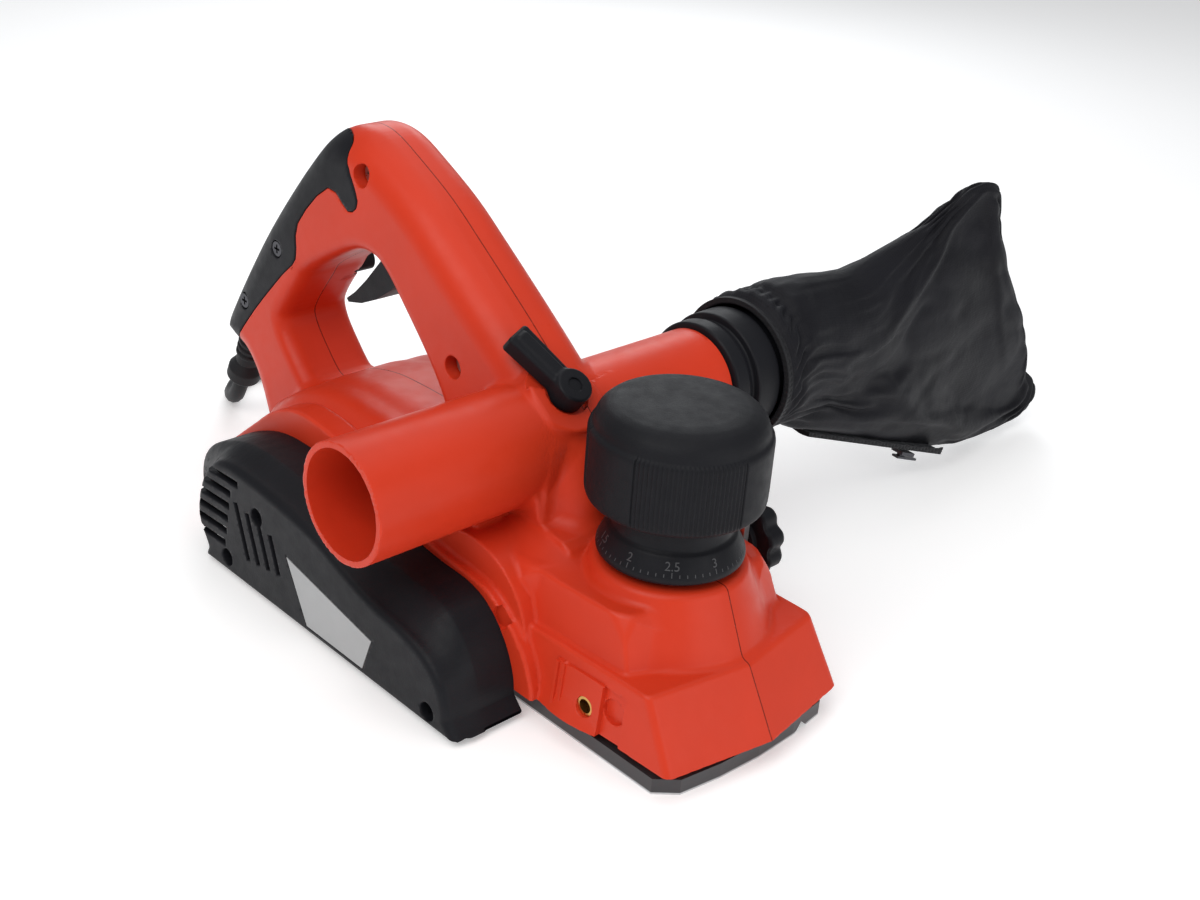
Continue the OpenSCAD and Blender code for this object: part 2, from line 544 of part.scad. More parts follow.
module motor_bearings() color([0.75, 0.76, 0.78]) {
  bearing(motor_x, motor_z, 11, 4, -49.5, -42.5);
  bearing(motor_x, motor_z, 9.5, 4, 39, 45);
}
module stator() color([0.5, 0.5, 0.52]) difference() {
  ycyl(motor_x, motor_z, stator_r, -21, 13);
  ycyl(motor_x, motor_z, rotor_r + 0.5, -30, 30);
  for (s = [0, 180]) translate([motor_x, -30, motor_z]) rotate([0, s, 0])
    translate([-14, 0, 14.5]) cube([28, 60, 6.5]);
}
module field_windings() color([0.72, 0.42, 0.2]) for (s = [0, 180])
  translate([motor_x, 0, motor_z]) rotate([0, s, 0]) difference() {
    translate([-13.6, -27, 15.2]) cube([27.2, 46, 5.4]);
    translate([0, -4, 0]) rotate([90, 0, 0]) cylinder(r = 15.2, h = 80, center = true);
  }
module brush_pair(a, b) for (s = [-1, 1]) translate([motor_x, 25, motor_z])
  translate([s > 0 ? a : -b, 0, 0]) children();
module brush_holders() color([0.72, 0.58, 0.3]) brush_pair(11, 34) difference() {
  translate([0, -5.4, -4.4]) cube([23, 10.8, 8.8]);
  translate([-1, -4.3, -3.3]) cube([25, 8.6, 6.6]);
}
module carbon_brushes() color([0.1, 0.1, 0.1]) brush_pair(9.3, 21.3)
  translate([0, -4.2, -3.2]) cube([12, 8.4, 6.4]);
module brush_springs() color("silver") for (s = [-1, 1]) translate([motor_x + s * 21.9, 25, motor_z])
  rotate([0, s * 90, 0]) tube(coil_pts(2.4, 10.6, 4, 12), 0.4, 6);

// ---------- handle works ----------
module switch_body() color([0.16, 0.16, 0.17]) {
  translate([-72, 0, 130]) rotate([0, -44, 0]) translate([-16, -8, -8]) cube([32, 16, 15]);
}
trig_pin = [-37, 119];
module trigger() color([0.07, 0.07, 0.08]) difference() {
  union() {
    prof([[-42, 121], [-37, 123.5], [-32.5, 121], [-32, 116], [-37, 109], [-45, 101.5], [-54, 95], [-63, 90.6],
      [-71.4, 88.4], [-72.6, 89.6], [-67, 94], [-60, 101], [-53, 109], [-47, 116]], -6.6, 6.6);
  }
  ycyl(trig_pin[0], trig_pin[1], 2.03, -10, 10);
}
module trigger_pin() color("silver") ycyl(trig_pin[0], trig_pin[1], 2, -14.4, 14.4);
module lock_button() color([0.07, 0.07, 0.08]) {
  ycyl(-98, 92, 4.2, 12, 22.4);
  ycyl(-98, 92, 5.2, 11, 13.2);
}
module lead_wires() color([0.5, 0.1, 0.1]) {
  for (s = [-1, 1]) tube(curve([[-118.6, 2 * s, 77.4], [-114, 4 * s, 86], [-106, 4 * s, 101],
    [-97, 4 * s, 113]], 4), 1.4, 8);
}
module cord_clamp() color([0.2, 0.2, 0.22]) translate([-124.5, 0, 74]) rotate([0, 64, 0])
  difference() { translate([-5, -9, -2.5]) cube([10, 18, 5]); cylinder(r = 3.7, h = 20, center = true); }

// ---------- cord ----------
cord_r = 3.5;
guard_tilt = 25;
module cord_guard() color([0.1, 0.1, 0.11]) translate([-146, 0, 53]) rotate([0, 180 + guard_tilt, 0]) difference() {
  union() {
    translate([0, 0, -10]) cylinder(r = 5, h = 18);
    translate([0, 0, -5.8]) cylinder(r = 7, h = 3.6);
    translate([0, 0, 6]) cylinder(r1 = 5.4, r2 = 5, h = 20);
    translate([0, 0, 24]) cylinder(r1 = 5.1, r2 = 7.4, h = 5);
    translate([0, 0, 29 - e]) cylinder(r = 7.4, h = 3);
    translate([0, 0, 32 - e]) cylinder(r1 = 7.4, r2 = 6.2, h = 2);
  }
  translate([0, 0, -20]) cylinder(r = 3.7, h = 80);
}
coil_c = [-46, 112];
coil_rm = 39; coil_n = 3;
// way from the guard over the floor to the coil
lead_pts = [[-120.4, 0, 76], [-127.4, 0, 72.6], [-132.6, 0, 69.6], [-137.5, 0, 66.2], [-141.8, 0, 62.1],
  [-146, 0, 53], [-151.9, 0, 40.3], [-160.4, 0, 22.2], [-166, 0.5, 13], [-174, 2.5, 7.2],
  [-183, 7.5, 4.4], [-191, 16, 3.8], [-195, 28, 3.8], [-193, 41, 3.8], [-184, 52, 3.8],
  [-170, 60, 3.8], [-150, 64, 3.8], [-122, 63.5, 3.8], [-98, 60.5, 3.8], [-78, 58.4, 3.8],
  [-62, 58, 3.8], [-50, 58, 3.8]];
tail_pts = [[-44, 80, 25], [-30, 77.5, 25.4], [-16, 75, 25.2], [-6, 74, 23.4], [2, 74, 20.8],
  [11.6, 74, 18.4]];
module power_cord() color([0.06, 0.06, 0.06]) tube(curve(lead_pts, 2), cord_r, 10);
module cord_tail() color([0.06, 0.06, 0.06]) tube(curve(tail_pts, 2), cord_r, 10);
module cord_coil() color([0.08, 0.08, 0.08]) translate([coil_c[0], coil_c[1], 0]) rotate_extrude()
  polygon([[28.5, 3], [31, 0.4], [47, 0.4], [49.5, 3], [49.5, 18.5], [47, 21], [31, 21], [28.5, 18.5]]);
plug_p = [14, 74, 18.4];
module plug_body() color([0.08, 0.08, 0.08]) translate(plug_p) rotate([0, 90, 0]) difference() {
  rotate_extrude() polygon([[0, -4], [5, -4], [6.4, 8], [11, 14], [17.4, 20], [18, 22], [18, 34], [16.6, 36], [0, 36]]);
  translate([0, 0, -10]) cylinder(r = 3.8, h = 12);
  for (s = [-1, 1]) translate([0, 9.5 * s, 24]) cylinder(r = 2.4, h = 20);
}
module plug_pins() color("silver") translate(plug_p) rotate([0, 90, 0]) for (s = [-1, 1])
  translate([0, 9.5 * s, 24]) { cylinder(r = 2.4, h = 29); translate([0, 0, 29 - e]) cylinder(r1 = 2.4, r2 = 1.4, h = 2); }

// ---------- chip outlet ----------
lever_a = 200;   // lever points up the handle and a little to the right
module chip_lever() color([0.07, 0.07, 0.08]) translate(lever_p) rotate([0, lever_tilt, 0]) {
  translate([0, 0, -0.8]) cylinder(r = 6.6, h = 8.4);
  translate([0, 0, -13]) cylinder(r = 2.5, h = 14);
  difference() {
    rotate(lever_a) translate([0, -4.2, -0.4]) cube([26.4, 8.4, 6.4]);
    translate([0, 0, -5]) cylinder(r = 6.5, h = 20);
  }
}
module chip_deflector() color([0.25, 0.25, 0.27]) translate(lever_p) rotate([0, lever_tilt, 0]) difference() {
  union() {
    rotate(lever_a) translate([-11.2, -0.9, -29.4]) cube([22.4, 1.8, 17.6]);
    translate([0, 0, -29.4]) cylinder(r = 3.6, h = 24);
  }
  translate([0, 0, -13]) cylinder(r = 2.5, h = 15);
}

// ---------- side fittings ----------
module fence_inserts() color([0.78, 0.6, 0.28]) for (s = [-1, 1]) difference() {
  ycyl(108, 17, 3.4, s > 0 ? 34 : -42.4, s > 0 ? 42.4 : -34);
  ycyl(108, 17, 2.5, s > 0 ? 30 : -60, s > 0 ? 60 : -30);
}
module rabbet_stop() color([0.62, 0.63, 0.65]) difference() {
  union() {
    translate([rk_x - 6.6, 44.6, 11]) cube([13.2, 2.6, 41.4]);
    translate([rk_x - 6.6, 44.6, 11]) cube([13.2, 8, 2.6]);
  }
  ycyl(rk_x, 38, 3.3, 40, 50); ycyl(rk_x, 47, 3.3, 40, 50);
  translate([rk_x - 3.3, 40, 38]) cube([6.6, 10, 9]);
}
module rabbet_knob() color([0.1, 0.1, 0.11]) difference() {
  union() {
    ycyl(rk_x, 38, 16, 49.6, 58);
    ycyl(rk_x, 38, 9, 47.6, 50);
    ycyl(rk_x, 38, 3, 38.4, 48);
  }
  for (k = [0:9]) translate([rk_x, 0, 38]) rotate([0, 36 * k, 0]) translate([17.6, 49, 0]) rotate([-90, 0, 0]) cylinder(r = 2.6, h = 14, $fn = 24);
}

// ---------- dust bag ----------
module bag_collar() color([0.1, 0.1, 0.11]) translate([tube_x, 0, tube_z]) rotate([-90, 0, 0]) rotate_extrude()
  polygon([[16.4, 48], [18.2, 48], [18.3, 70.2], [22.6, 70.2], [23, 71], [23, 77.6], [21.8, 78], [21.8, 80],
    [24.2, 80.4], [24.4, 92], [21.6, 92.4], [21.6, 105], [22.6, 105.6], [22.6, 108], [16.4, 108]]);
module bag_slab(x, hx, pts) translate([x - hx, 0, 0]) rotate([90, 0, 90]) linear_extrude(2 * hx) polygon(pts);
module bag_form(g) {
  ycyl(tube_x, tube_z, 25.6 - g, 92.8 - (g > 0 ? 1 : 0), 97.4);
  hull() {
    ycyl(tube_x, tube_z, 25.6 - g, 96.4, 97.2);
    translate([43, 104, 81]) scale([0.86, 1, 1]) rotate([-90, 0, 0]) cylinder(r = 34.5 - g, h = 20, $fn = 32);
  }
  hull() {
    translate([44, 110, 81]) scale([0.8, 1, 1]) rotate([-90, 0, 0]) cylinder(r = 34.5 - g, h = 14, $fn = 32);
    bag_slab(52, 17 - g, [[170, 96], [212, 104], [252, 44], [244, 22], [196, 36]]);
    bag_slab(57, 5 - g * 0.6, [[180, 124 - g], [222, 131.6 - g], [240 - g, 131.6 - g], [247 - g, 118], [300 - g, 20],
      [299 - g, 6 + g], [290, 3.6 + g], [240, 3.6 + g], [225, 7 + g]]);
  }
}
module dust_bag() color([0.08, 0.08, 0.1]) difference() {
  bag_form(0);
  bag_form(2);
  at_zip() zip_seat();
}
module at_zip() translate([45.9, 133.9, 39.4]) rotate([-109.25, 0, -7.2]) children();
module zip_seat() translate([-5, -3.4, 0]) cube([10, 6, 90]);
module bag_band() color([0.12, 0.12, 0.13]) yring(tube_x, tube_z, 27.4, 25.6, 93, 95.8);
module bag_zipper() color([0.05, 0.05, 0.06]) intersection() {
  difference() { bag_form(0); bag_form(2); }
  at_zip() zip_seat();
}
module zip_slider() color([0.2, 0.2, 0.22]) at_zip() {
  translate([-3.2, 2, 66]) cube([6.4, 1.4, 8.6]);
  translate([-1, 3.3, 68]) cube([2, 1.4, 3]);
  translate([-1.8, 4.6, 66]) cube([3.6, 1, 13]);
}

housing_right();
housing_left();
housing_screws();
handle_rear_cover();
handle_cover_screws();
belt_cover();
belt_cover_screws();
rating_plate();
base_frame();
base_screws();
front_shoe();
depth_bolt();
depth_nut();
bolt_retainer();
depth_knob();
depth_dial();
shoe_springs();
cutter_drum();
blades();
blade_clamps();
blade_screws();
drum_bearings();
drum_pulley();
drive_belt();
motor_pulley();
motor_shaft();
armature();
commutator();
fan();
motor_bearings();
stator();
field_windings();
brush_holders();
carbon_brushes();
brush_springs();
switch_body();
trigger();
trigger_pin();
lock_button();
lead_wires();
cord_clamp();
cord_guard();
power_cord();
cord_coil();
cord_tail();
plug_body();
plug_pins();
chip_lever();
chip_deflector();
fence_inserts();
rabbet_stop();
rabbet_knob();
bag_collar();
dust_bag();
bag_band();
bag_zipper();
zip_slider();
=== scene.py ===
import bpy, math
import numpy as np
from mathutils import Vector, Matrix, Quaternion


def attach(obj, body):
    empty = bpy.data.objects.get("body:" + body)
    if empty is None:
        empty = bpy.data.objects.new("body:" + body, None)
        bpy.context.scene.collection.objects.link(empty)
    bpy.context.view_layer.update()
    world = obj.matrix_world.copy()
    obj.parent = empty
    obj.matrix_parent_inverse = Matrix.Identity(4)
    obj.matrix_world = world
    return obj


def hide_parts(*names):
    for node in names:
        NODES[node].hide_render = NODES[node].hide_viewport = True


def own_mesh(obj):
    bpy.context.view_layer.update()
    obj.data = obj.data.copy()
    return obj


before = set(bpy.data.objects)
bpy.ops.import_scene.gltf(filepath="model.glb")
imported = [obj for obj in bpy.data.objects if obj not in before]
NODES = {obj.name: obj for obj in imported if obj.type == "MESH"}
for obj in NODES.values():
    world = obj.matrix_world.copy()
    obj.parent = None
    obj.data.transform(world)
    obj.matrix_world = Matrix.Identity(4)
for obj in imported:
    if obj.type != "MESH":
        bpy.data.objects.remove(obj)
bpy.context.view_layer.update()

S = 0.001

# ------------------------------------------------------------------ camera
cam_data = bpy.data.cameras.new("camera")
cam = bpy.data.objects.new("camera", cam_data)
bpy.context.collection.objects.link(cam)
R_, U_, B_ = Vector((0.6849, 0.7255, 0.0669)), Vector((-0.3706, 0.2679, 0.8893)), Vector((0.6273, -0.6339, 0.4524))
m = Matrix.Identity(4)
for i in range(3):
    m[i][0], m[i][1], m[i][2] = R_[i], U_[i], B_[i]
cam.matrix_world = Matrix.Translation((0.4039, -0.3433, 0.3236)) @ m
cam_data.lens = 48.06
cam_data.sensor_width = 36
cam_data.clip_start = 0.01
bpy.context.scene.camera = cam


# ------------------------------------------------------------------ mesh helpers
def link(ob):
    bpy.context.collection.objects.link(ob)
    return ob


def make(name, verts, faces, body, mat=None, smooth=True, normals=None):
    """verts in metres (numpy or list), faces list of index tuples or numpy quads"""
    me = bpy.data.meshes.new(name)
    v = np.asarray(verts, dtype=np.float32)
    if isinstance(faces, np.ndarray):
        n, k = faces.shape
        me.vertices.add(len(v)); me.vertices.foreach_set("co", v.ravel())
        me.loops.add(n * k); me.loops.foreach_set("vertex_index", faces.astype(np.int32).ravel())
        me.polygons.add(n)
        me.polygons.foreach_set("loop_start", np.arange(0, n * k, k, dtype=np.int32))
        me.polygons.foreach_set("loop_total", np.full(n, k, dtype=np.int32))
        me.update(calc_edges=True); me.validate()
    else:
        me.from_pydata([tuple(map(float, p)) for p in v], [], [tuple(f) for f in faces])
        me.update()
    if smooth:
        me.polygons.foreach_set("use_smooth", np.ones(len(me.polygons), dtype=bool))
    ob = link(bpy.data.objects.new(name, me))
    if mat is not None:
        me.materials.append(mat)
    if normals is not None and len(normals) == len(me.vertices):
        me.normals_split_custom_set_from_vertices([tuple(map(float, q)) for q in normals])
    elif normals is not None and len(normals) == len(me.loops):
        me.normals_split_custom_set(np.asarray(normals, float).tolist())
    if body is not None:
        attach(ob, body)
    return ob


def grid_faces(nu, nv, close_u=False, close_v=False):
    u = np.arange(nu if close_u else nu - 1); v = np.arange(nv if close_v else nv - 1)
    uu, vv = np.meshgrid(u, v, indexing="ij")
    u2, v2 = (uu + 1) % nu, (vv + 1) % nv
    return np.stack([uu * nv + vv, u2 * nv + vv, u2 * nv + v2, uu * nv + v2], -1).reshape(-1, 4)


def lathe(name, prof, body, mat, origin=(0, 0, 0), axis="z", seg=192, mod=None, sharp=None):
    """prof: list of (r, h) in mm, closed ends when r = 0; mod(theta, k, r, h) -> r"""
    prof = np.array(prof, float)
    th = np.linspace(0, 2 * np.pi, seg, endpoint=False)
    T, K = np.meshgrid(th, np.arange(len(prof)), indexing="ij")
    r = prof[K, 0]; h = prof[K, 1]
    if mod is not None:
        r, h = mod(T, K, r, h)
    c, s = np.cos(T) * r, np.sin(T) * r
    P = {"z": np.stack([c, s, h], -1), "y": np.stack([s, h, c], -1)}[axis].reshape(-1, 3)
    F = grid_faces(seg, len(prof), close_u=True)
    P = (P + np.array(origin)) * S
    ob = make(name, P, F, None, mat)
    me = ob.data
    import bmesh
    bm = bmesh.new(); bm.from_mesh(me)
    bmesh.ops.remove_doubles(bm, verts=bm.verts, dist=1e-6)
    # close any open rim
    edges = [e for e in bm.edges if e.is_boundary]
    if edges:
        bmesh.ops.holes_fill(bm, edges=edges, sides=0)
    bmesh.ops.recalc_face_normals(bm, faces=bm.faces)
    for f in bm.faces:
        f.smooth = True
    if sharp:
        for e in bm.edges:
            if len(e.link_faces) == 2 and e.calc_face_angle(0) > math.radians(sharp):
                e.smooth = False
    bm.to_mesh(me); bm.free()
    if body:
        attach(ob, body)
    return ob


def smooth_profile(pts, r=0.8, n=4):
    """round the corners of an open (r, h) polyline"""
    out = [np.array(pts[0], float)]
    for i in range(1, len(pts) - 1):
        a, b, c = (np.array(p, float) for p in (pts[i - 1], pts[i], pts[i + 1]))
        la, lc = np.linalg.norm(a - b), np.linalg.norm(c - b)
        d = min(r, la * 0.45, lc * 0.45)
        p0, p1 = b + (a - b) / la * d, b + (c - b) / lc * d
        for k in range(n + 1):
            t = k / n
            out.append((1 - t) ** 2 * p0 + 2 * t * (1 - t) * b + t * t * p1)
    out.append(np.array(pts[-1], float))
    return [tuple(p) for p in out]


# ------------------------------------------------------------------ materials
def node_mat(name):
    mt = bpy.data.materials.new(name)
    mt.use_nodes = True
    nt = mt.node_tree
    for n in list(nt.nodes):
        nt.nodes.remove(n)
    out = nt.nodes.new("ShaderNodeOutputMaterial")
    b = nt.nodes.new("ShaderNodeBsdfPrincipled")
    nt.links.new(b.outputs[0], out.inputs[0])
    tc = nt.nodes.new("ShaderNodeTexCoord")
    return mt, nt, b, tc


def noise(nt, vec, scale, detail=3.0, rough=0.55):
    n = nt.nodes.new("ShaderNodeTexNoise")
    n.inputs["Scale"].default_value = scale
    n.inputs["Detail"].default_value = detail
    n.inputs["Roughness"].default_value = rough
    nt.links.new(vec, n.inputs["Vector"])
    return n.outputs["Fac"]


def ramp(nt, fac, stops):
    r = nt.nodes.new("ShaderNodeValToRGB")
    el = r.color_ramp.elements
    while len(el) > 1:
        el.remove(el[-1])
    el[0].position = stops[0][0]; el[0].color = (*stops[0][1], 1)
    for p, c in stops[1:]:
        e = el.new(p); e.color = (*c, 1)
    nt.links.new(fac, r.inputs[0])
    return r.outputs[0]


def maprange(nt, fac, a, b, c, d):
    n = nt.nodes.new("ShaderNodeMapRange")
    for k, v in zip(("From Min", "From Max", "To Min", "To Max"), (a, b, c, d)):
        n.inputs[k].default_value = v
    nt.links.new(fac, n.inputs["Value"])
    return n.outputs[0]


def bump(nt, h, strength, dist, prev=None):
    n = nt.nodes.new("ShaderNodeBump")
    n.inputs["Strength"].default_value = strength
    n.inputs["Distance"].default_value = dist
    nt.links.new(h, n.inputs["Height"])
    if prev is not None:
        nt.links.new(prev, n.inputs["Normal"])
    return n.outputs[0]


def mul(c, k):
    return tuple(min(1.0, max(0.0, x * k)) for x in c)


def plastic(name, col, rough=0.42, grain=1400.0, gb=0.10, spec=0.5, coat=0.0, var=0.06, mottled=40.0):
    mt, nt, b, tc = node_mat(name)
    v = tc.outputs["Object"]
    big = noise(nt, v, mottled, 3)
    c = ramp(nt, big, [(0.3, mul(col, 1 - var)), (0.7, mul(col, 1 + var))])
    nt.links.new(c, b.inputs["Base Color"])
    fine = noise(nt, v, grain, 2, 0.6)
    mid = noise(nt, v, 220.0, 3, 0.5)
    nt.links.new(maprange(nt, mid, 0.3, 0.7, rough - 0.05, rough + 0.06), b.inputs["Roughness"])
    n1 = bump(nt, fine, gb, 0.00025)
    n2 = bump(nt, mid, 0.05, 0.0006, n1)
    nt.links.new(n2, b.inputs["Normal"])
    b.inputs["Specular IOR Level"].default_value = spec
    b.inputs["Coat Weight"].default_value = coat
    b.inputs["Coat Roughness"].default_value = 0.25
    return mt


def metal(name, col, rough=0.3, brushed=None, var=0.08, scale=260.0, metallic=1.0):
    mt, nt, b, tc = node_mat(name)
    v = tc.outputs["Object"]
    if brushed:
        mp = nt.nodes.new("ShaderNodeMapping")
        mp.inputs["Scale"].default_value = brushed
        nt.links.new(v, mp.inputs["Vector"])
        v = mp.outputs[0]
    f = noise(nt, v, scale, 4, 0.6)
    nt.links.new(ramp(nt, f, [(0.25, mul(col, 1 - var)), (0.75, mul(col, 1 + var))]), b.inputs["Base Color"])
    nt.links.new(maprange(nt, f, 0.3, 0.7, rough - 0.07, rough + 0.09), b.inputs["Roughness"])
    nt.links.new(bump(nt, f, 0.12, 0.0002), b.inputs["Normal"])
    b.inputs["Metallic"].default_value = metallic
    return mt


def rubber(name, col, rough=0.6):
    mt, nt, b, tc = node_mat(name)
    v = tc.outputs["Object"]
    f = noise(nt, v, 900, 3, 0.6)
    g = noise(nt, v, 60, 2, 0.5)
    nt.links.new(ramp(nt, g, [(0.3, mul(col, 0.85)), (0.7, mul(col, 1.2))]), b.inputs["Base Color"])
    nt.links.new(maprange(nt, g, 0.3, 0.7, rough - 0.06, rough + 0.06), b.inputs["Roughness"])
    nt.links.new(bump(nt, f, 0.15, 0.0003), b.inputs["Normal"])
    b.inputs["Specular IOR Level"].default_value = 0.2
    return mt


def weave(name, col, pitch=0.00075, rough=0.62, sheen=0.35, depth=0.0004, uv=False, strength=0.55):
    """plain woven cloth: two crossed wave textures give the threads"""
    mt, nt, b, tc = node_mat(name)
    v = tc.outputs["UV"] if uv else tc.outputs["Object"]
    outs = []
    for ax in (("X", "Y") if uv else ("Y", "Z")):
        w = nt.nodes.new("ShaderNodeTexWave")
        w.wave_type = "BANDS"; w.bands_direction = ax; w.wave_profile = "SIN"
        w.inputs["Scale"].default_value = 1.0 / pitch / 20.0 * 3.1416 * 2 / 2
        w.inputs["Distortion"].default_value = 0.25
        w.inputs["Detail"].default_value = 1.0
        w.inputs["Detail Scale"].default_value = 0.6
        nt.links.new(v, w.inputs["Vector"])
        outs.append(w.outputs["Fac"])
    mx = nt.nodes.new("ShaderNodeMath"); mx.operation = "MAXIMUM"
    nt.links.new(outs[0], mx.inputs[0]); nt.links.new(outs[1], mx.inputs[1])
    big = noise(nt, tc.outputs["Object"], 26.0, 4, 0.55)
    mixf = nt.nodes.new("ShaderNodeMath"); mixf.operation = "MULTIPLY_ADD"
    nt.links.new(mx.outputs[0], mixf.inputs[0]); mixf.inputs[1].default_value = 0.35
    nt.links.new(big, mixf.inputs[2])
    nt.links.new(ramp(nt, mixf.outputs[0], [(0.35, mul(col, 0.6)), (0.95, mul(col, 1.5))]), b.inputs["Base Color"])
    nt.links.new(maprange(nt, big, 0.3, 0.7, rough - 0.06, rough + 0.08), b.inputs["Roughness"])
    n1 = bump(nt, mx.outputs[0], strength, depth)
    n2 = bump(nt, noise(nt, tc.outputs["Object"], 70.0, 4, 0.6), 0.22, 0.003, n1)
    nt.links.new(n2, b.inputs["Normal"])
    b.inputs["Sheen Weight"].default_value = sheen
    b.inputs["Sheen Roughness"].default_value = 0.45
    b.inputs["Sheen Tint"].default_value = (0.6, 0.62, 0.66, 1)
    b.inputs["Specular IOR Level"].default_value = 0.16
    return mt


def math_node(nt, op, a, b=None, c=None):
    n = nt.nodes.new("ShaderNodeMath"); n.operation = op
    for i, q in enumerate((a, b, c)):
        if q is None:
            continue
        if isinstance(q, (int, float)):
            n.inputs[i].default_value = q
        else:
            nt.links.new(q, n.inputs[i])
    return n.outputs[0]


def red_plastic():
    """orange-red moulding: fine grain, a dark joint line where the halves meet, a coarser textured patch by the tube"""
    mt = plastic("red_plastic", (0.64, 0.042, 0.014), rough=0.38, grain=1500, gb=0.07, spec=0.22, var=0.03)
    nt = mt.node_tree
    b = [n for n in nt.nodes if n.type == "BSDF_PRINCIPLED"][0]
    tc = [n for n in nt.nodes if n.type == "TEX_COORD"][0]
    sp = nt.nodes.new("ShaderNodeSeparateXYZ"); nt.links.new(tc.outputs["Object"], sp.inputs[0])
    ay = math_node(nt, "ABSOLUTE", sp.outputs["Y"])
    k = maprange(nt, ay, 0.00012, 0.00032, 0.22, 1.0)
    old = b.inputs["Base Color"].links[0].from_socket
    mx = nt.nodes.new("ShaderNodeMix"); mx.data_type = "RGBA"
    nt.links.new(k, mx.inputs["Factor"])
    mx.inputs["A"].default_value = (0.06, 0.006, 0.003, 1)
    nt.links.new(old, mx.inputs["B"])
    nt.links.new(mx.outputs["Result"], b.inputs["Base Color"])
    # patch
    dx = nt.nodes.new("ShaderNodeVectorMath"); dx.operation = "DISTANCE"
    nt.links.new(tc.outputs["Object"], dx.inputs[0]); dx.inputs[1].default_value = (0.0495, -0.0195, 0.079)
    mask = maprange(nt, dx.outputs["Value"], 0.008, 0.015, 1.0, 0.0)
    vo = nt.nodes.new("ShaderNodeTexVoronoi"); vo.inputs["Scale"].default_value = 1100
    nt.links.new(tc.outputs["Object"], vo.inputs["Vector"])
    h = math_node(nt, "MULTIPLY", vo.outputs["Distance"], mask)
    prev = b.inputs["Normal"].links[0].from_socket
    nt.links.new(bump(nt, h, 0.45, 0.0006, prev), b.inputs["Normal"])
    return mt


def shoe_paint():
    """black coated shoe with a bare machined sole"""
    mt, nt, b, tc = node_mat("coated_shoe")
    v = tc.outputs["Object"]
    sp = nt.nodes.new("ShaderNodeSeparateXYZ"); nt.links.new(v, sp.inputs[0])
    bare = maprange(nt, sp.outputs["Z"], 0.0006, 0.0009, 1.0, 0.0)
    mp = nt.nodes.new("ShaderNodeMapping"); mp.inputs["Scale"].default_value = (0.05, 1, 1)
    nt.links.new(v, mp.inputs["Vector"])
    f = noise(nt, mp.outputs[0], 900, 4, 0.6); g = noise(nt, v, 120, 3, 0.55)
    cb = ramp(nt, f, [(0.25, (0.50, 0.51, 0.52)), (0.75, (0.62, 0.63, 0.64))])
    cp = ramp(nt, g, [(0.3, (0.030, 0.029, 0.032)), (0.75, (0.045, 0.043, 0.047))])
    mx = nt.nodes.new("ShaderNodeMix"); mx.data_type = "RGBA"
    nt.links.new(bare, mx.inputs["Factor"]); nt.links.new(cp, mx.inputs["A"]); nt.links.new(cb, mx.inputs["B"])
    nt.links.new(mx.outputs["Result"], b.inputs["Base Color"])
    nt.links.new(bare, b.inputs["Metallic"])
    nt.links.new(maprange(nt, g, 0.3, 0.7, 0.34, 0.46), b.inputs["Roughness"])
    nt.links.new(bump(nt, g, 0.12, 0.0004), b.inputs["Normal"])
    return mt


RED = red_plastic()
SHOE = shoe_paint()
BLK = plastic("black_plastic", (0.0105, 0.0108, 0.0135), rough=0.44, grain=1700, gb=0.20, spec=0.14, var=0.12)
KNB = plastic("knob_plastic", (0.0110, 0.0113, 0.0138), rough=0.52, grain=2100, gb=0.30, spec=0.13, var=0.12)
GREYP = plastic("grey_plastic", (0.10, 0.10, 0.11), rough=0.5, gb=0.2)
SCREW = metal("zinc", (0.50, 0.50, 0.49), 0.34)
STEEL = metal("steel", (0.48, 0.49, 0.50), 0.28, brushed=(1, 0.06, 1))
DSTEEL = metal("dark_steel", (0.09, 0.09, 0.10), 0.42)
ALU = metal("cast_alloy", (0.60, 0.61, 0.62), 0.36, brushed=(0.05, 1, 1), scale=900)
BLADE = metal("ground_steel", (0.72, 0.73, 0.75), 0.16, brushed=(1, 0.04, 1), scale=700)
BRASS = metal("brass", (0.66, 0.42, 0.13), 0.30)
COPPER = metal("copper", (0.60, 0.24, 0.09), 0.38, brushed=(1, 0.05, 1), scale=1600, var=0.25)
CORE = metal("core_steel", (0.26, 0.26, 0.27), 0.45, brushed=(0.02, 1, 0.02), scale=1500, var=0.25)
CARBON = rubber("graphite", (0.03, 0.03, 0.032), 0.5)
BELT = rubber("belt_rubber", (0.018, 0.018, 0.019), 0.62)
WIRE = rubber("wire_sheath", (0.22, 0.02, 0.015), 0.45)
RUB = rubber("soft_rubber", (0.015, 0.015, 0.017), 0.56)
CORD = rubber("cord_sheath", (0.015, 0.015, 0.017), 0.50)
CLOTH = weave("bag_cloth", (0.0062, 0.0062, 0.0085), pitch=0.0006, uv=True, strength=0.16, depth=0.0002, rough=0.55, sheen=0.04)
TAPE = weave("woven_tape", (0.011, 0.011, 0.0125), pitch=0.0011, strength=0.6, depth=0.0004, sheen=0.15)
PLATE = plastic("plate_foil", (0.40, 0.405, 0.41), rough=0.4, grain=900, gb=0.05, spec=0.4, var=0.03)

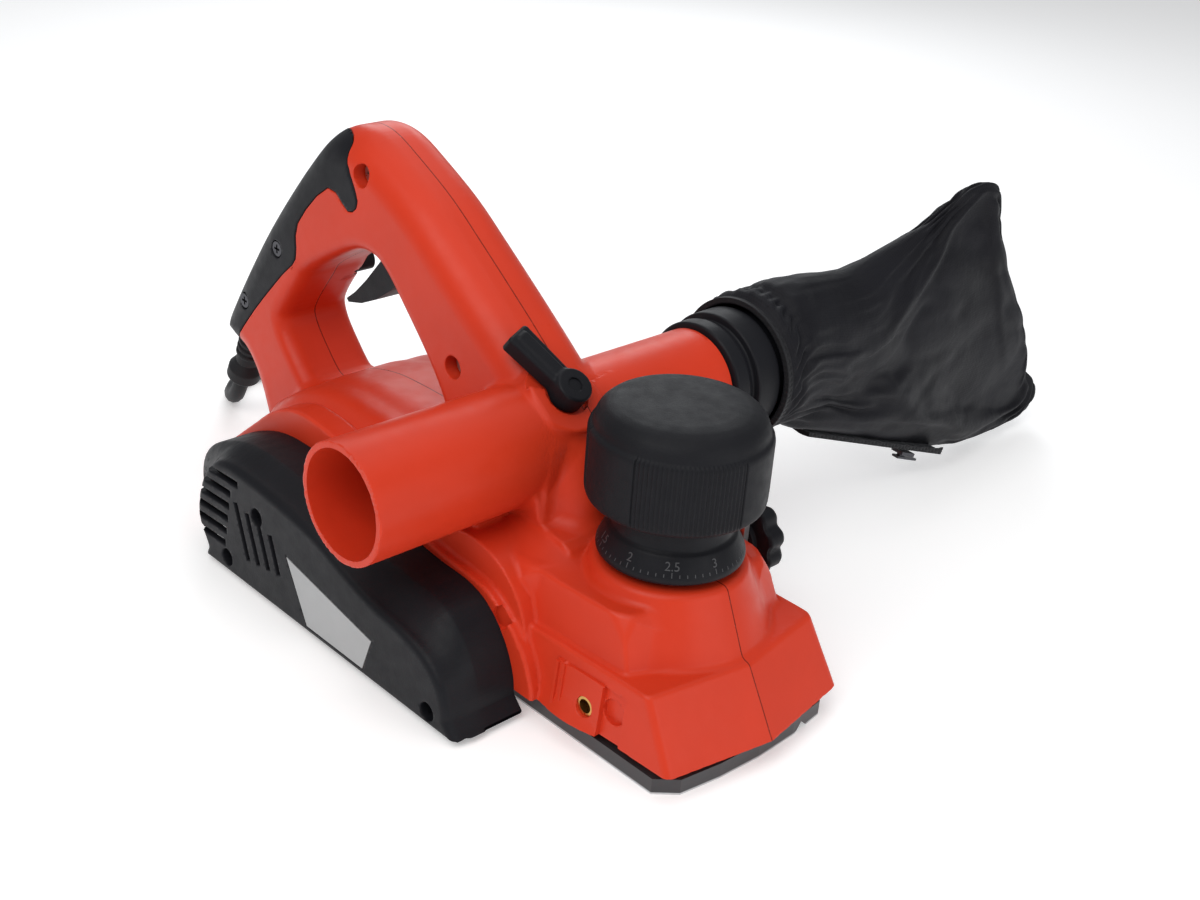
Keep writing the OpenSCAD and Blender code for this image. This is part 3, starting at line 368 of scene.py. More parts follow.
NODE_MAT = {
    "housing_right": RED, "housing_left": RED, "housing_screws": SCREW, "handle_rear_cover": BLK,
    "handle_cover_screws": DSTEEL, "belt_cover": BLK, "belt_cover_screws": SCREW, "rating_plate": PLATE,
    "base_frame": ALU, "base_screws": SCREW, "front_shoe": SHOE, "depth_bolt": STEEL, "depth_nut": BRASS,
    "bolt_retainer": STEEL, "depth_knob": KNB, "depth_dial": BLK, "shoe_springs": STEEL, "cutter_drum": ALU,
    "blades": BLADE, "blade_clamps": STEEL, "blade_screws": DSTEEL, "drum_bearings": BLADE, "drum_pulley": ALU,
    "drive_belt": BELT, "motor_pulley": STEEL, "motor_shaft": STEEL, "armature": CORE, "commutator": COPPER,
    "fan": GREYP, "motor_bearings": BLADE, "stator": CORE, "field_windings": COPPER, "brush_holders": BRASS,
    "carbon_brushes": CARBON, "brush_springs": STEEL, "switch_body": GREYP, "trigger": BLK, "trigger_pin": STEEL,
    "lock_button": BLK, "lead_wires": WIRE, "cord_clamp": GREYP, "cord_guard": RUB, "power_cord": CORD,
    "cord_coil": CORD, "cord_tail": CORD, "plug_body": RUB, "plug_pins": BLADE, "chip_lever": BLK,
    "chip_deflector": GREYP, "fence_inserts": BRASS, "rabbet_stop": ALU, "rabbet_knob": BLK, "bag_collar": BLK,
    "dust_bag": CLOTH, "bag_band": TAPE, "bag_zipper": TAPE, "zip_slider": DSTEEL}
for nm, ob in NODES.items():
    if nm in NODE_MAT:
        ob.data.materials.clear()
        ob.data.materials.append(NODE_MAT[nm])
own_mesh(NODES["shoe_springs"])


# ------------------------------------------------------------------ cord
def catmull(P, k, closed=False):
    P = np.asarray(P, float); n = len(P); out = []
    rng = range(n if closed else n - 1)
    for i in rng:
        g = (lambda q: P[q % n]) if closed else (lambda q: P[min(max(q, 0), n - 1)])
        a, b, c, d = g(i - 1), g(i), g(i + 1), g(i + 2)
        for j in range(k):
            t = j / k
            out.append(0.5 * ((2 * b) + (c - a) * t + (2 * a - 5 * b + 4 * c - d) * t * t + (3 * b - a - 3 * c + d) * t ** 3))
    if not closed:
        out.append(P[-1])
    return np.array(out)


LEAD = [(-160.4, 0, 22.2), (-164.0, 0.1, 15.2), (-168.6, 1.0, 9.6), (-175, 3.2, 6.2), (-183, 7.8, 4.2), (-190.4, 16, 3.7),
        (-193.6, 28, 3.7), (-192, 41, 3.7), (-184, 52, 3.7), (-170, 60, 3.7), (-150, 64, 3.7), (-122, 63.5, 3.7),
        (-98, 60.5, 3.7), (-78, 58.6, 3.7), (-64, 58.2, 3.7), (-52, 58.8, 3.7)]
CX, CY = -46.0, 112.0


def sstep(t):
    t = min(1, max(0, t))
    return t * t * (3 - 2 * t)


def coil_points():
    pts = []
    r0, dr, z0, dz = 46.2, 7.2, 3.7, 7.15
    a = -62.0
    evr = [(200, -1), (560, -1), (1120, 1), (1480, 1), (2040, -1), (2400, -1)]
    evz = [840, 1760, 2680]
    while a <= 2760.01:
        r = r0 + sum(s * dr * sstep((a - q) / 80) for q, s in evr)
        z = z0 + sum(dz * sstep((a - q) / 80) for q in evz)
        if a < 0:
            r += 3.6 * (1 - sstep((a + 62) / 62)) if a < 0 else 0
        t = math.radians(a)
        pts.append((CX + r * math.cos(t), CY + r * math.sin(t), z))
        a += 10.0
    return pts


coil = coil_points()
TAIL = [(-50.5, 79.3, 25.2), (-40, 77.3, 25.4), (-30, 76.2, 25.5), (-16, 75, 25.2), (-6, 74.2, 23.6), (2, 74, 20.8), (11.0, 74, 18.6)]
cpath = catmull(LEAD + coil + TAIL, 3) * S
cu = bpy.data.curves.new("power_cord_run", "CURVE")
cu.dimensions = "3D"; cu.bevel_depth = 0.0035; cu.bevel_resolution = 4; cu.use_fill_caps = True
sp = cu.splines.new("POLY"); sp.points.add(len(cpath) - 1)
for i, p in enumerate(cpath):
    sp.points[i].co = (*p, 1)
cord = link(bpy.data.objects.new("power_cord_run", cu))
cu.materials.append(CORD)
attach(cord, "body")
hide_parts("power_cord", "cord_coil", "cord_tail")


def strap_tie(name, ang, rc=39.0, w=7.0):
    """flat tie round the coil's section at an angle"""
    t = math.radians(ang)
    er = np.array([math.cos(t), math.sin(t), 0]); et = np.array([-math.sin(t), math.cos(t), 0]); ez = np.array([0, 0, 1.0])
    c = np.array([CX, CY, 0]) + rc * er
    loop = []
    hw_, z1, z2, rr = 11.5, 0.35, 21.9, 4.0
    for cx_, cz_, a0 in ((hw_ - rr, z2 - rr, 0), (-hw_ + rr, z2 - rr, 90), (-hw_ + rr, z1 + rr, 180), (hw_ - rr, z1 + rr, 270)):
        for k in range(7):
            q = math.radians(a0 + 15 * k)
            loop.append((cx_ + rr * math.cos(q), cz_ + rr * math.sin(q), math.cos(q), math.sin(q)))
    V = []
    for (x, z, nx, nz) in loop:
        for off, tt in ((0, -w / 2), (0, w / 2), (0.9, w / 2), (0.9, -w / 2)):
            V.append(c + er * (x + nx * off) + ez * max(0.15, z + nz * off) + et * tt)
    F = grid_faces(len(loop), 4, close_u=True, close_v=True)
    ob = make(name, np.array(V) * S, F, "body", TAPE)
    return ob


tie1 = strap_tie("cord_tie", 60)
# plug: moulded body with grip ribs, pins stay the CAD ones
def plug():
    o = (14, 74, 18.4)
    prof = [(3.6, -4), (5, -4), (5.3, -2)]
    for k in range(5):
        x = -1.2 + 2.2 * k
        prof += [(5.4 + 0.25 * k, x), (5.9 + 0.28 * k, x + 0.5), (5.9 + 0.28 * k, x + 1.2), (5.3 + 0.25 * k, x + 1.6)]
    prof += [(8, 11.4), (12.2, 15.2), (16.6, 19.4), (17.9, 22), (18, 24), (18, 33), (17.4, 35.2), (15.8, 36), (0, 36)]
    prof = [(0, -3.9)] + prof
    P = smooth_profile(prof, 0.5, 2)
    seg = 96
    th = np.linspace(0, 2 * np.pi, seg, endpoint=False)
    V = []
    for t in th:
        for r, h in P:
            # two flats with finger ribs on the sides
            cy, cz = math.cos(t) * r, math.sin(t) * r
            if h > 12 and abs(cz) > 13.2:
                cz = math.copysign(13.2 + 0.12 * (abs(cz) - 13.2) + 0.35 * math.sin(h * 2.4), cz)
            V.append((o[0] + h, o[1] + cy, o[2] + cz))
    ob = make("plug_shell", np.array(V) * S, grid_faces(seg, len(P), close_u=True), None, RUB)
    import bmesh
    bm = bmesh.new(); bm.from_mesh(ob.data)
    bmesh.ops.remove_doubles(bm, verts=bm.verts, dist=1e-6)
    bmesh.ops.recalc_face_normals(bm, faces=bm.faces)
    bm.to_mesh(ob.data); bm.free()
    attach(ob, "body")
    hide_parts("plug_body")
    return ob


plug_ob = plug()


# ------------------------------------------------------------------ signed distance modelling (mm)
GX0, GX1, GZ0, GZ1, GSTEP = -165.0, 165.0, -12.0, 176.0, 0.6


def resample(poly, k=6, closed=True):
    return catmull(np.array(poly, float), k, closed)


def poly_field(poly):
    """distance grid of a closed outline in the XZ plane, negative inside"""
    xs = np.arange(GX0, GX1 + GSTEP, GSTEP); zs = np.arange(GZ0, GZ1 + GSTEP, GSTEP)
    X, Z = np.meshgrid(xs, zs, indexing="ij")
    P = np.stack([X.ravel(), Z.ravel()], -1)
    A = np.asarray(poly, float); Bq = np.roll(A, -1, axis=0)
    d2 = np.full(len(P), 1e12); inside = np.zeros(len(P), bool)
    for a, b in zip(A, Bq):
        e = b - a; L = e @ e
        if L < 1e-12:
            continue
        w = P - a
        t = np.clip((w @ e) / L, 0, 1)
        q = w - t[:, None] * e
        d2 = np.minimum(d2, (q * q).sum(1))
        c = (a[1] > P[:, 1]) != (b[1] > P[:, 1])
        with np.errstate(divide="ignore", invalid="ignore"):
            xi = a[0] + (P[:, 1] - a[1]) * (b[0] - a[0]) / (b[1] - a[1] if b[1] != a[1] else 1e-12)
        inside ^= c & (P[:, 0] < xi)
    g = np.sqrt(d2); g[inside] *= -1
    return g.reshape(len(xs), len(zs)).astype(np.float32)


def sample(g, x, z):
    u = np.clip((x - GX0) / GSTEP, 0, g.shape[0] - 1.001); v = np.clip((z - GZ0) / GSTEP, 0, g.shape[1] - 1.001)
    i = u.astype(np.int32); j = v.astype(np.int32); fu = u - i; fv = v - j
    return (g[i, j] * (1 - fu) * (1 - fv) + g[i + 1, j] * fu * (1 - fv) + g[i, j + 1] * (1 - fu) * fv + g[i + 1, j + 1] * fu * fv)


def rint(a, b, r):
    """intersection of two fields with a fillet of radius r on the edge"""
    return np.minimum(np.maximum(a, b), -r) + np.hypot(np.maximum(a + r, 0), np.maximum(b + r, 0))


def runi(a, b, r):
    """union with a concave fillet of radius r"""
    return np.maximum(np.minimum(a, b), r) - np.hypot(np.maximum(r - a, 0), np.maximum(r - b, 0))


def smax(a, b, k):
    h = np.clip(0.5 + 0.5 * (a - b) / k, 0, 1)
    return b + (a - b) * h + k * h * (1 - h)


def smin(a, b, k):
    return -smax(-a, -b, k)


def cyl_y(x, y, z, cx, cz, r, y0, y1, f=0.6):
    return rint(np.hypot(x - cx, z - cz) - r, np.abs(y - (y0 + y1) / 2) - (y1 - y0) / 2, f)


def cyl_z(x, y, z, cx, cy, r, z0, z1, f=0.6):
    return rint(np.hypot(x - cx, y - cy) - r, np.abs(z - (z0 + z1) / 2) - (z1 - z0) / 2, f)


def boxd(x, y, z, lo, hi, f=0.3):
    a = np.abs(x - (lo[0] + hi[0]) / 2) - (hi[0] - lo[0]) / 2 + f
    b = np.abs(y - (lo[1] + hi[1]) / 2) - (hi[1] - lo[1]) / 2 + f
    c = np.abs(z - (lo[2] + hi[2]) / 2) - (hi[2] - lo[2]) / 2 + f
    return np.sqrt(np.maximum(a, 0) ** 2 + np.maximum(b, 0) ** 2 + np.maximum(c, 0) ** 2) + np.minimum(np.maximum(a, np.maximum(b, c)), 0) - f


def plane3(x, y, z, p, q, r_, inside):
    """half space through three points, negative on the side of point inside"""
    p, q, r_, inside = (np.array(t, float) for t in (p, q, r_, inside))
    n = np.cross(q - p, r_ - p); n /= np.linalg.norm(n)
    if (inside - p) @ n > 0:
        n = -n
    return (x - p[0]) * n[0] + (y - p[1]) * n[1] + (z - p[2]) * n[2]


def mesh_field(f, lo, hi, h, phase=(0.5, 0.5, 0.5), band=1.0, proj=2):
    """surface of a field as quads: grid cells crossed by the surface get one vertex each, pulled on to it"""
    lo = np.array(lo, float); hi = np.array(hi, float)
    lo = np.floor(lo / h) * h + np.array(phase) * h - 2 * h
    n = np.ceil((hi - lo) / h).astype(int) + 3
    C = 6
    nc = (n // C) + 2
    ax = [lo[i] + (np.arange(nc[i]) + 0.5) * C * h - 0.5 * h for i in range(3)]
    X, Y, Z = np.meshgrid(*ax, indexing="ij")
    dc = f(X.ravel(), Y.ravel(), Z.ravel()).reshape(X.shape)
    big = np.repeat(np.repeat(np.repeat(dc, C, 0), C, 1), C, 2)[:n[0], :n[1], :n[2]].astype(np.float32)
    mask = np.abs(big) < C * h * 1.12 * band + h
    idx = np.nonzero(mask)
    P = [lo[i] + idx[i] * h for i in range(3)]
    D = big
    D[idx] = f(P[0], P[1], P[2])
    s = D < 0
    # active cells
    m8 = np.zeros(tuple(np.array(s.shape) - 1), np.int8)
    for dx in (0, 1):
        for dy in (0, 1):
            for dz in (0, 1):
                m8 += s[dx:s.shape[0] - 1 + dx, dy:s.shape[1] - 1 + dy, dz:s.shape[2] - 1 + dz]
    act = (m8 > 0) & (m8 < 8)
    ci = np.array(np.nonzero(act)).T
    vid = np.full(act.shape, -1, np.int32); vid[act] = np.arange(len(ci))
    acc = np.zeros((len(ci), 3)); cnt = np.zeros(len(ci))
    corners = [(a, b, c) for a in (0, 1) for b in (0, 1) for c in (0, 1)]
    val = {c: D[ci[:, 0] + c[0], ci[:, 1] + c[1], ci[:, 2] + c[2]].astype(float) for c in corners}
    for a in corners:
        for k in range(3):
            if a[k] == 0:
                b = list(a); b[k] = 1; b = tuple(b)
                va, vb = val[a], val[b]
                cr = (va < 0) != (vb < 0)
                t = np.where(cr, va / np.where(va == vb, 1, va - vb), 0)
                p = np.array(a, float)[None, :].repeat(len(ci), 0); p[:, k] += t
                acc[cr] += p[cr]; cnt[cr] += 1
    V0 = lo + (ci + acc / cnt[:, None]) * h
    eps = 0.12 * h
    tet = np.array([(1, 1, 1), (1, -1, -1), (-1, 1, -1), (-1, -1, 1)], float)

    def grad(V):
        g = np.zeros_like(V)
        for t in tet:
            g += t * f(V[:, 0] + t[0] * eps, V[:, 1] + t[1] * eps, V[:, 2] + t[2] * eps)[:, None]
        return g / np.maximum(np.linalg.norm(g, axis=1, keepdims=True), 1e-12)

    AA = np.zeros((len(ci), 6)); AB = np.zeros((len(ci), 3))
    quads = []
    for k in range(3):
        o = [i for i in range(3) if i != k]
        sl0 = [slice(None)] * 3; sl1 = [slice(None)] * 3
        sl0[k] = slice(0, -1); sl1[k] = slice(1, None)
        ch = s[tuple(sl0)] != s[tuple(sl1)]
        e = np.array(np.nonzero(ch)).T
        e = e[(e[:, o[0]] > 0) & (e[:, o[1]] > 0)]
        e = e[(e[:, o[0]] < s.shape[o[0]] - 1) & (e[:, o[1]] < s.shape[o[1]] - 1)]
        # where the grid edge meets the surface, and the normal there
        e1 = e.copy(); e1[:, k] += 1
        va = D[e[:, 0], e[:, 1], e[:, 2]].astype(float); vb = D[e1[:, 0], e1[:, 1], e1[:, 2]].astype(float)
        ta, tb = np.zeros(len(e)), np.ones(len(e))
        P = lo + e * h
        P = P.astype(float)
        base = P[:, k].copy()
        for it in range(2):
            t = ta - va * (tb - ta) / np.where(vb == va, 1e-9, vb - va)
            t = np.clip(t, ta, tb)
            if it == 1:
                break
            P[:, k] = base + t * h
            vm = f(P[:, 0], P[:, 1], P[:, 2])
            sm = (vm < 0) == (va < 0)
            ta = np.where(sm, t, ta); va = np.where(sm, vm, va)
            tb = np.where(sm, tb, t); vb = np.where(sm, vb, vm)
        P[:, k] = base + t * h
        g = grad(P)
        q = []
        for da, db in ((-1, -1), (0, -1), (0, 0), (-1, 0)):
            c = e.copy(); c[:, o[0]] += da; c[:, o[1]] += db
            v = vid[c[:, 0], c[:, 1], c[:, 2]]
            q.append(v)
            ok = v >= 0
            vv, gg = v[ok], g[ok]
            dd = (gg * (P[ok] - V0[vv])).sum(1)
            for j, (a, b) in enumerate(((0, 0), (0, 1), (0, 2), (1, 1), (1, 2), (2, 2))):
                AA[:, j] += np.bincount(vv, gg[:, a] * gg[:, b], len(ci))
            for j in range(3):
                AB[:, j] += np.bincount(vv, gg[:, j] * dd, len(ci))
        q = np.stack(q, -1)
        neg = s[e[:, 0], e[:, 1], e[:, 2]]
        flip = neg if k != 1 else ~neg
        q[~flip] = q[~flip][:, ::-1]
        quads.append(q)
    Q = np.concatenate(quads)
    Q = Q[(Q >= 0).all(1)]
    lam = 0.06
    M = np.zeros((len(ci), 3, 3))
    for j, (a, b) in enumerate(((0, 0), (0, 1), (0, 2), (1, 1), (1, 2), (2, 2))):
        M[:, a, b] = AA[:, j]; M[:, b, a] = AA[:, j]
    M[:, 0, 0] += lam; M[:, 1, 1] += lam; M[:, 2, 2] += lam
    off = np.linalg.solve(M, AB[:, :, None])[:, :, 0]
    cen = lo + (ci + 0.5) * h
    V = np.clip(V0 + off, cen - 0.5 * h, cen + 0.5 * h)
    # one normal for each face corner: the vertex's own where the surface is smooth, the face's where it folds
    nv = grad(V)
    nf = grad(V[Q].mean(1))
    A_, B_q, C_, D_q = V[Q[:, 0]], V[Q[:, 1]], V[Q[:, 2]], V[Q[:, 3]]
    gn = np.cross(C_ - A_, D_q - B_q); gn /= np.maximum(np.linalg.norm(gn, axis=1, keepdims=True), 1e-12)
    nf = np.where(((nf * gn).sum(1) > 0.8)[:, None], nf, gn)
    cn = nv[Q]
    bad = (cn * nf[:, None, :]).sum(2) < 0.93
    cn[bad] = np.broadcast_to(nf[:, None, :], cn.shape)[bad]
    return V, Q, cn.reshape(-1, 3)

# ------------------------------------------------------------------ outlines (mm, X and Z), as in the CAD
SIDE = [(-112, -6), (-113, 9.5), (-118, 16), (-122, 26), (-127, 37), (-134, 45), (-143, 48.5), (-149, 52), (-149.6, 58), (-144, 68),
        (-131.5, 87), (-116.5, 108), (-98.5, 130), (-84.5, 145.5), (-76, 153.5), (-68, 158.4), (-60, 160.4), (-50, 159.2),
        (-37, 153.6), (-18, 143.8), (0, 131.6), (20, 117.4), (36, 105.6), (50, 94.4), (62, 83), (69.5, 71), (73.2, 61),
        (74, 50), (77, 40), (77, 9.5), (77, -6)]
GRIP = [(-84, 51.5), (-76, 55.5), (-66, 61), (-50, 65.2), (-34, 66.5), (-4, 67), (-1, 69), (-3, 76), (-12, 88), (-26, 102.5),
        (-36, 112), (-43, 115.5), (-53, 115), (-66, 109), (-84, 98), (-90, 91), (-101, 76), (-102, 70), (-95, 61)]
COVER = [(-153, 46), (-154, 60), (-147, 72), (-122, 108), (-104, 131), (-80, 157), (-66, 165), (-57, 163), (-57, 150),
         (-50.5, 136.5), (-56.5, 131), (-69, 136.5), (-89, 117), (-91, 102), (-101, 92), (-122, 70), (-140, 48), (-141, 46)]
BODY = [(-97, -6), (-97, 9.5), (-100, 19), (-98, 30), (-91, 41), (-80, 53), (-66, 61.5), (-50, 65.6), (-34, 66.5), (0, 66.5),
        (30, 70), (57.5, 68.5), (63.5, 57.5), (80, 50), (80, 9.5), (80, -6)]
FLANGE = [(-97, -6), (-97, 9.5), (-99, 20), (-96, 29), (-87, 37), (-76, 46), (-64, 55.5), (-51, 61.5), (-40, 63), (-24, 61.5),
          (-6, 56), (14, 49), (36, 43.5), (52, 42), (64, 40), (75, 33), (83, 24), (87, 15), (88, 9.5), (88, -6)]
BC_IN = [(-72, 2.5), (-82, 9), (-88, 20), (-88, 31), (-80, 40), (-66, 47), (-54, 50.5), (-40, 51.5), (-20, 50), (4, 46), (26, 42),
         (40, 40.4), (54, 39.6), (64, 36), (73, 27), (78, 17), (79.5, 8), (79.5, 2.5)]
BC_OUT = [(-61, 2.5), (-67, 6), (-72, 14), (-72.5, 24), (-68, 36), (-61, 44), (-52, 47.6), (-40, 48.4), (-18, 47), (5, 43.6),
          (26, 36.8), (40, 33.2), (53, 31.4), (66, 27.6), (74, 21), (77.5, 14), (78.5, 8), (78.5, 2.5)]
EXT = lambda P: [(x, z if z > 3 else -8) for x, z in P]
F_SIDE = poly_field(resample(SIDE, 5))
F_GRIP = poly_field(resample(GRIP, 5))
F_COVER = poly_field(resample(COVER, 3))
F_BODY = poly_field(resample(BODY, 5))
F_FLANGE = poly_field(resample(FLANGE, 5))
HW, KX = 47.5, 100.0
TX, TZ = 41.0, 76.6
LEVER_P = np.array([50.8, -5.0, 95.2]); TILT = math.radians(38.3)
LX = np.array([math.cos(TILT), 0, -math.sin(TILT)]); LZ = np.array([math.sin(TILT), 0, math.cos(TILT)])
LANG = math.radians(200.0)
HS = [(-48.5, 146.5), (6, 92), (-111, 24)]
HC = [(-104, 102), (-129, 72)]
BCS = [(68.5, 7), (-52, 8), (-31, 34.5)]
RK = 88.0


def handle(x, y, z):
    ds = sample(F_SIDE, x, z); dg = sample(F_GRIP, x, z)
    yb = np.abs(y) - 17.5
    a = rint(ds, yb, 13.0)
    return rint(a, -dg, 7.5)


def nose_block(x, y, z):
    d = z - 32.5
    ay = np.abs(y)
    c = (90, 0, 20)
    side = plane3(x, ay, z, (76, 44, 10), (145, 41.5, 10), (133, 39.4, 32.5), c)
    front = plane3(x, ay, z, (152, 0, 10), (145, 41.5, 10), (138.8, 0, 32.5), c)
    back = 76 - x
    r = rint(side, front, 2.2)
    r = rint(r, d, 1.2)
    r = np.maximum(r, back)
    return np.maximum(r, 6 - z)


def deck(x, y, z):
    ay = np.abs(y); c = (95, 0, 38)
    side = plane3(x, ay, z, (76, 38.6, 32.5), (128, 36.1, 32.5), (113.5, 34.1, 50), c)
    f1 = plane3(x, ay, z, (135, 0, 32.5), (128, 0, 50), (113.5, 34.1, 50), c)
    f2 = plane3(x, ay, z, (135, 0, 32.5), (128, 36.1, 32.5), (113.5, 34.1, 50), c)
    f3 = plane3(x, ay, z, (106.5, 35.3, 50), (115, 30.2, 50), (127.0, 36.2, 32.5), c)
    rise = 0.5 * np.clip(37 - ay, 0, 12) * (1 - sstep_a((x - 58) / 34.0))
    top = (z - 50 - rise) * 0.92
    r = rint(np.maximum(f1, f2), f3, 1.0)
    r = rint(r, side, 1.0)
    r = rint(r, top, 1.0)
    return np.maximum(np.maximum(r, 49 - x), 20 - z)


def sstep_a(t):
    t = np.clip(t, 0, 1)
    return t * t * (3 - 2 * t)


def shoulder(x, y, z):
    ay = np.abs(y); c = (48, 0, 60)
    side = plane3(x, ay, z, (20, 25, 44), (63, 25, 44), (57, 19, 85), c)
    front = plane3(x, ay, z, (63.6, 0, 44), (63.6, 25, 44), (60, 0, 85), c)
    back = plane3(x, ay, z, (33, 0, 44), (33, 25, 44), (27, 0, 85), c)
    r = rint(side, front, 1.1)
    r = rint(r, back, 6.0)
    return np.maximum(rint(r, z - 85, 4.0), 40 - z)


def cone(x, y, z):
    r = np.hypot(x - KX, y)
    return rint(r - (30 - (z - 46) * 4 / 9.0), z - 55, 1.6)


def outer_form(x, y, z):
    ay = np.abs(y)
    b = sample(F_BODY, x, z)
    body = rint(b, ay - 40.0, 15.0)
    body = rint(body, -np.maximum(np.maximum(24.5 - ay, 48 - x), 50.4 - z), 1.2)
    # side flange: thin plate with a raised crest, stepped down to the body
    fl = rint(sample(F_FLANGE, x, z), np.abs(ay - 42.0) - 5.5, 1.2)
    hood = cyl_y(x, y, z, 50, 24, 30, -43.8, 43.8, 1.0)
    hd = handle(x, y, z)
    d = runi(hd, body, 5.0)
    # keep the finger opening clean of the fillet
    dg = sample(F_GRIP, x, z)
    d = rint(d, -dg, 5.0)
    d = runi(d, fl, 0.7)
    d = runi(d, hood, 1.5)
    n = runi(nose_block(x, y, z), deck(x, y, z), 1.4)
    n = runi(n, cone(x, y, z), 1.8)
    d = runi(d, shoulder(x, y, z), 1.6)
    d = runi(d, n, 1.2)
    tube = cyl_y(x, y, z, TX, TZ, 20.8, -89.6, 69.8, 0.7)
    d = runi(d, tube, 2.2)
    # lever pad
    q = (x - LEVER_P[0]) * LX[0] + (z - LEVER_P[2]) * LX[2]; w = (x - LEVER_P[0]) * LZ[0] + (z - LEVER_P[2]) * LZ[2]
    v = y - LEVER_P[1]
    pad = rint(rint(np.hypot(q, v) - 14.5, np.abs(w + 4) - 5, 1.0), np.abs(v) - 12.5, 1.2)
    d = runi(d, pad, 2.4)
    d = np.minimum(d, cyl_y(x, y, z, 50, 24, 15.6, 40, 52.4, 1.5))
    return d


def nose_side(x, ay, z):
    """distance out from the sloping side face of the nose"""
    return plane3(x, ay, z, (76, 44, 10), (145, 41.5, 10), (133, 39.4, 32.5), (90, 0, 20))


def nose_panel(x, y, z, out):
    ay = np.abs(y)
    pl = np.maximum(np.abs(x - 104.4) - 10.6, np.abs(z - 18.4) - 9.6)
    p = np.maximum(pl, np.maximum(out - 0.9, -out - 2.0))
    return p


def voids(x, y, z):
    """everything taken out of the moulding, as one field that is negative in the voids"""
    ay = np.abs(y)
    v = cyl_y(x, y, z, TX, TZ, 18.6, -99, -59.6, 0.2)
    v = np.minimum(v, cyl_y(x, y, z, TX, TZ, 17.9, -61, 79, 0.2))
    v = np.minimum(v, cyl_y(x, y, z, TX, TZ, 18.9, 46, 79, 0.2))
    v = np.minimum(v, cyl_y(x, y, z, 50, 24, 27, -41.6, 41.6))
    v = np.minimum(v, z - 9.5)
    # under the nose
    c = (95, 0, 12)
    s1 = plane3(x, ay, z, (76, 40.6, 10), (140.5, 38.5, 10), (129, 36.4, 29.5), c)
    f1 = plane3(x, ay, z, (147, 0, 10), (140.5, 38, 10), (135, 0, 29.5), c)
    v = np.minimum(v, np.maximum(np.maximum(s1, f1), np.maximum(z - 29.5, 76 - x)))
    s2 = plane3(x, ay, z, (76, 34.5, 28), (124, 32, 28), (115, 29, 46.5), c)
    f2 = plane3(x, ay, z, (131, 0, 28), (124, 32, 28), (122, 0, 46.5), c)
    f3 = plane3(x, ay, z, (131, 0, 28), (124, 32, 28), (108, 29, 46.5), c)
    v = np.minimum(v, np.maximum(np.maximum(s2, np.maximum(f2, f3)), np.maximum(z - 46.5, 78 - x)))
    # motor room
    b = sample(F_BODY, x, z)
    v = np.minimum(v, np.maximum(np.maximum(b + 7.6, ay - 36), x - 14))
    # chip way
    v = np.minimum(v, np.maximum(np.maximum(ay - 15, np.abs(x - 50) - 9), np.maximum(z - 70, 40 - z)))
    # hollow handle
    g = sample(F_GRIP, x, z); sd = sample(F_SIDE, x, z)
    v = np.minimum(v, rint(rint(sd + 5.0, -g + 5.0, 2.0), np.maximum(ay - 13.6, np.maximum(x - 14, 60 - z)), 8.0))
    # spindle hole
    v = np.minimum(v, cyl_z(x, y, z, KX, 0, 5.6, 20, 60))
    return v


def fine_cuts(x, y, z):
    """screw recesses, seats and slots, negative where cut"""
    v = np.full_like(x, 50.0)
    for (px, pz) in HS:
        v = np.minimum(v, cyl_y(x, y, z, px, pz, 4.3, -60, -11.0, 0.3))
        v = np.minimum(v, cyl_y(x, y, z, px, pz, 2.2, -20, 12.4, 0.2))
    # trigger slot
    tr = np.maximum(np.abs(y) - 7.6, np.maximum(np.abs((x + 55) * 0.77 + (z - 106) * 0.64) - 31, np.abs(-(x + 55) * 0.64 + (z - 106) * 0.77) - 9.5))
    v = np.minimum(v, tr)
    v = np.minimum(v, cyl_y(x, y, z, -98, 92, 4.6, 7, 40, 0.2))
    # lever seat: round pocket and swept sector
    q = (x - LEVER_P[0]) * LX[0] + (z - LEVER_P[2]) * LX[2]; w = (x - LEVER_P[0]) * LZ[0] + (z - LEVER_P[2]) * LZ[2]
    s_ = y - LEVER_P[1]
    ang = np.degrees(np.arctan2(s_, q)) % 360
    da = np.abs(ang - 170) - 71
    rr = np.hypot(q, s_)
    sect = np.maximum(np.maximum(rr - 28.6, da * np.pi / 180 * np.maximum(rr, 6)), -(w + 1.2))
    v = np.minimum(v, np.maximum(sect, w - 25))
    v = np.minimum(v, np.maximum(np.maximum(rr - 8.2, -(w + 1.2)), w - 25))
    # fence insert recess and the small round recess in front, both sides
    for s in (-1, 1):
        v = np.minimum(v, cyl_y(x, y, z, 108, 17, 3.5, *(sorted((s * 34, s * 60))), 0.2))
        v = np.minimum(v, cyl_y(x, y, z, 119, 20, 4.4, *(sorted((s * 39.2, s * 60))), 0.4))
    v = np.minimum(v, cyl_y(x, y, z, 70.6, 33.2, 4.1, -60, -45.4, 0.3))
    # rabbet stop track and bolt
    v = np.minimum(v, boxd(x, y, z, (RK - 7, 44.3, 8), (RK + 7, 60, 48)))
    v = np.minimum(v, cyl_y(x, y, z, RK, 38, 3.2, 22, 60))
    # cooling slots on the left
    for k in range(6):
        v = np.minimum(v, boxd(x, y, z, (-80 + 9 * k, 36, 22), (-76 + 9 * k, 60, 46 - k), 1.2))
    return v


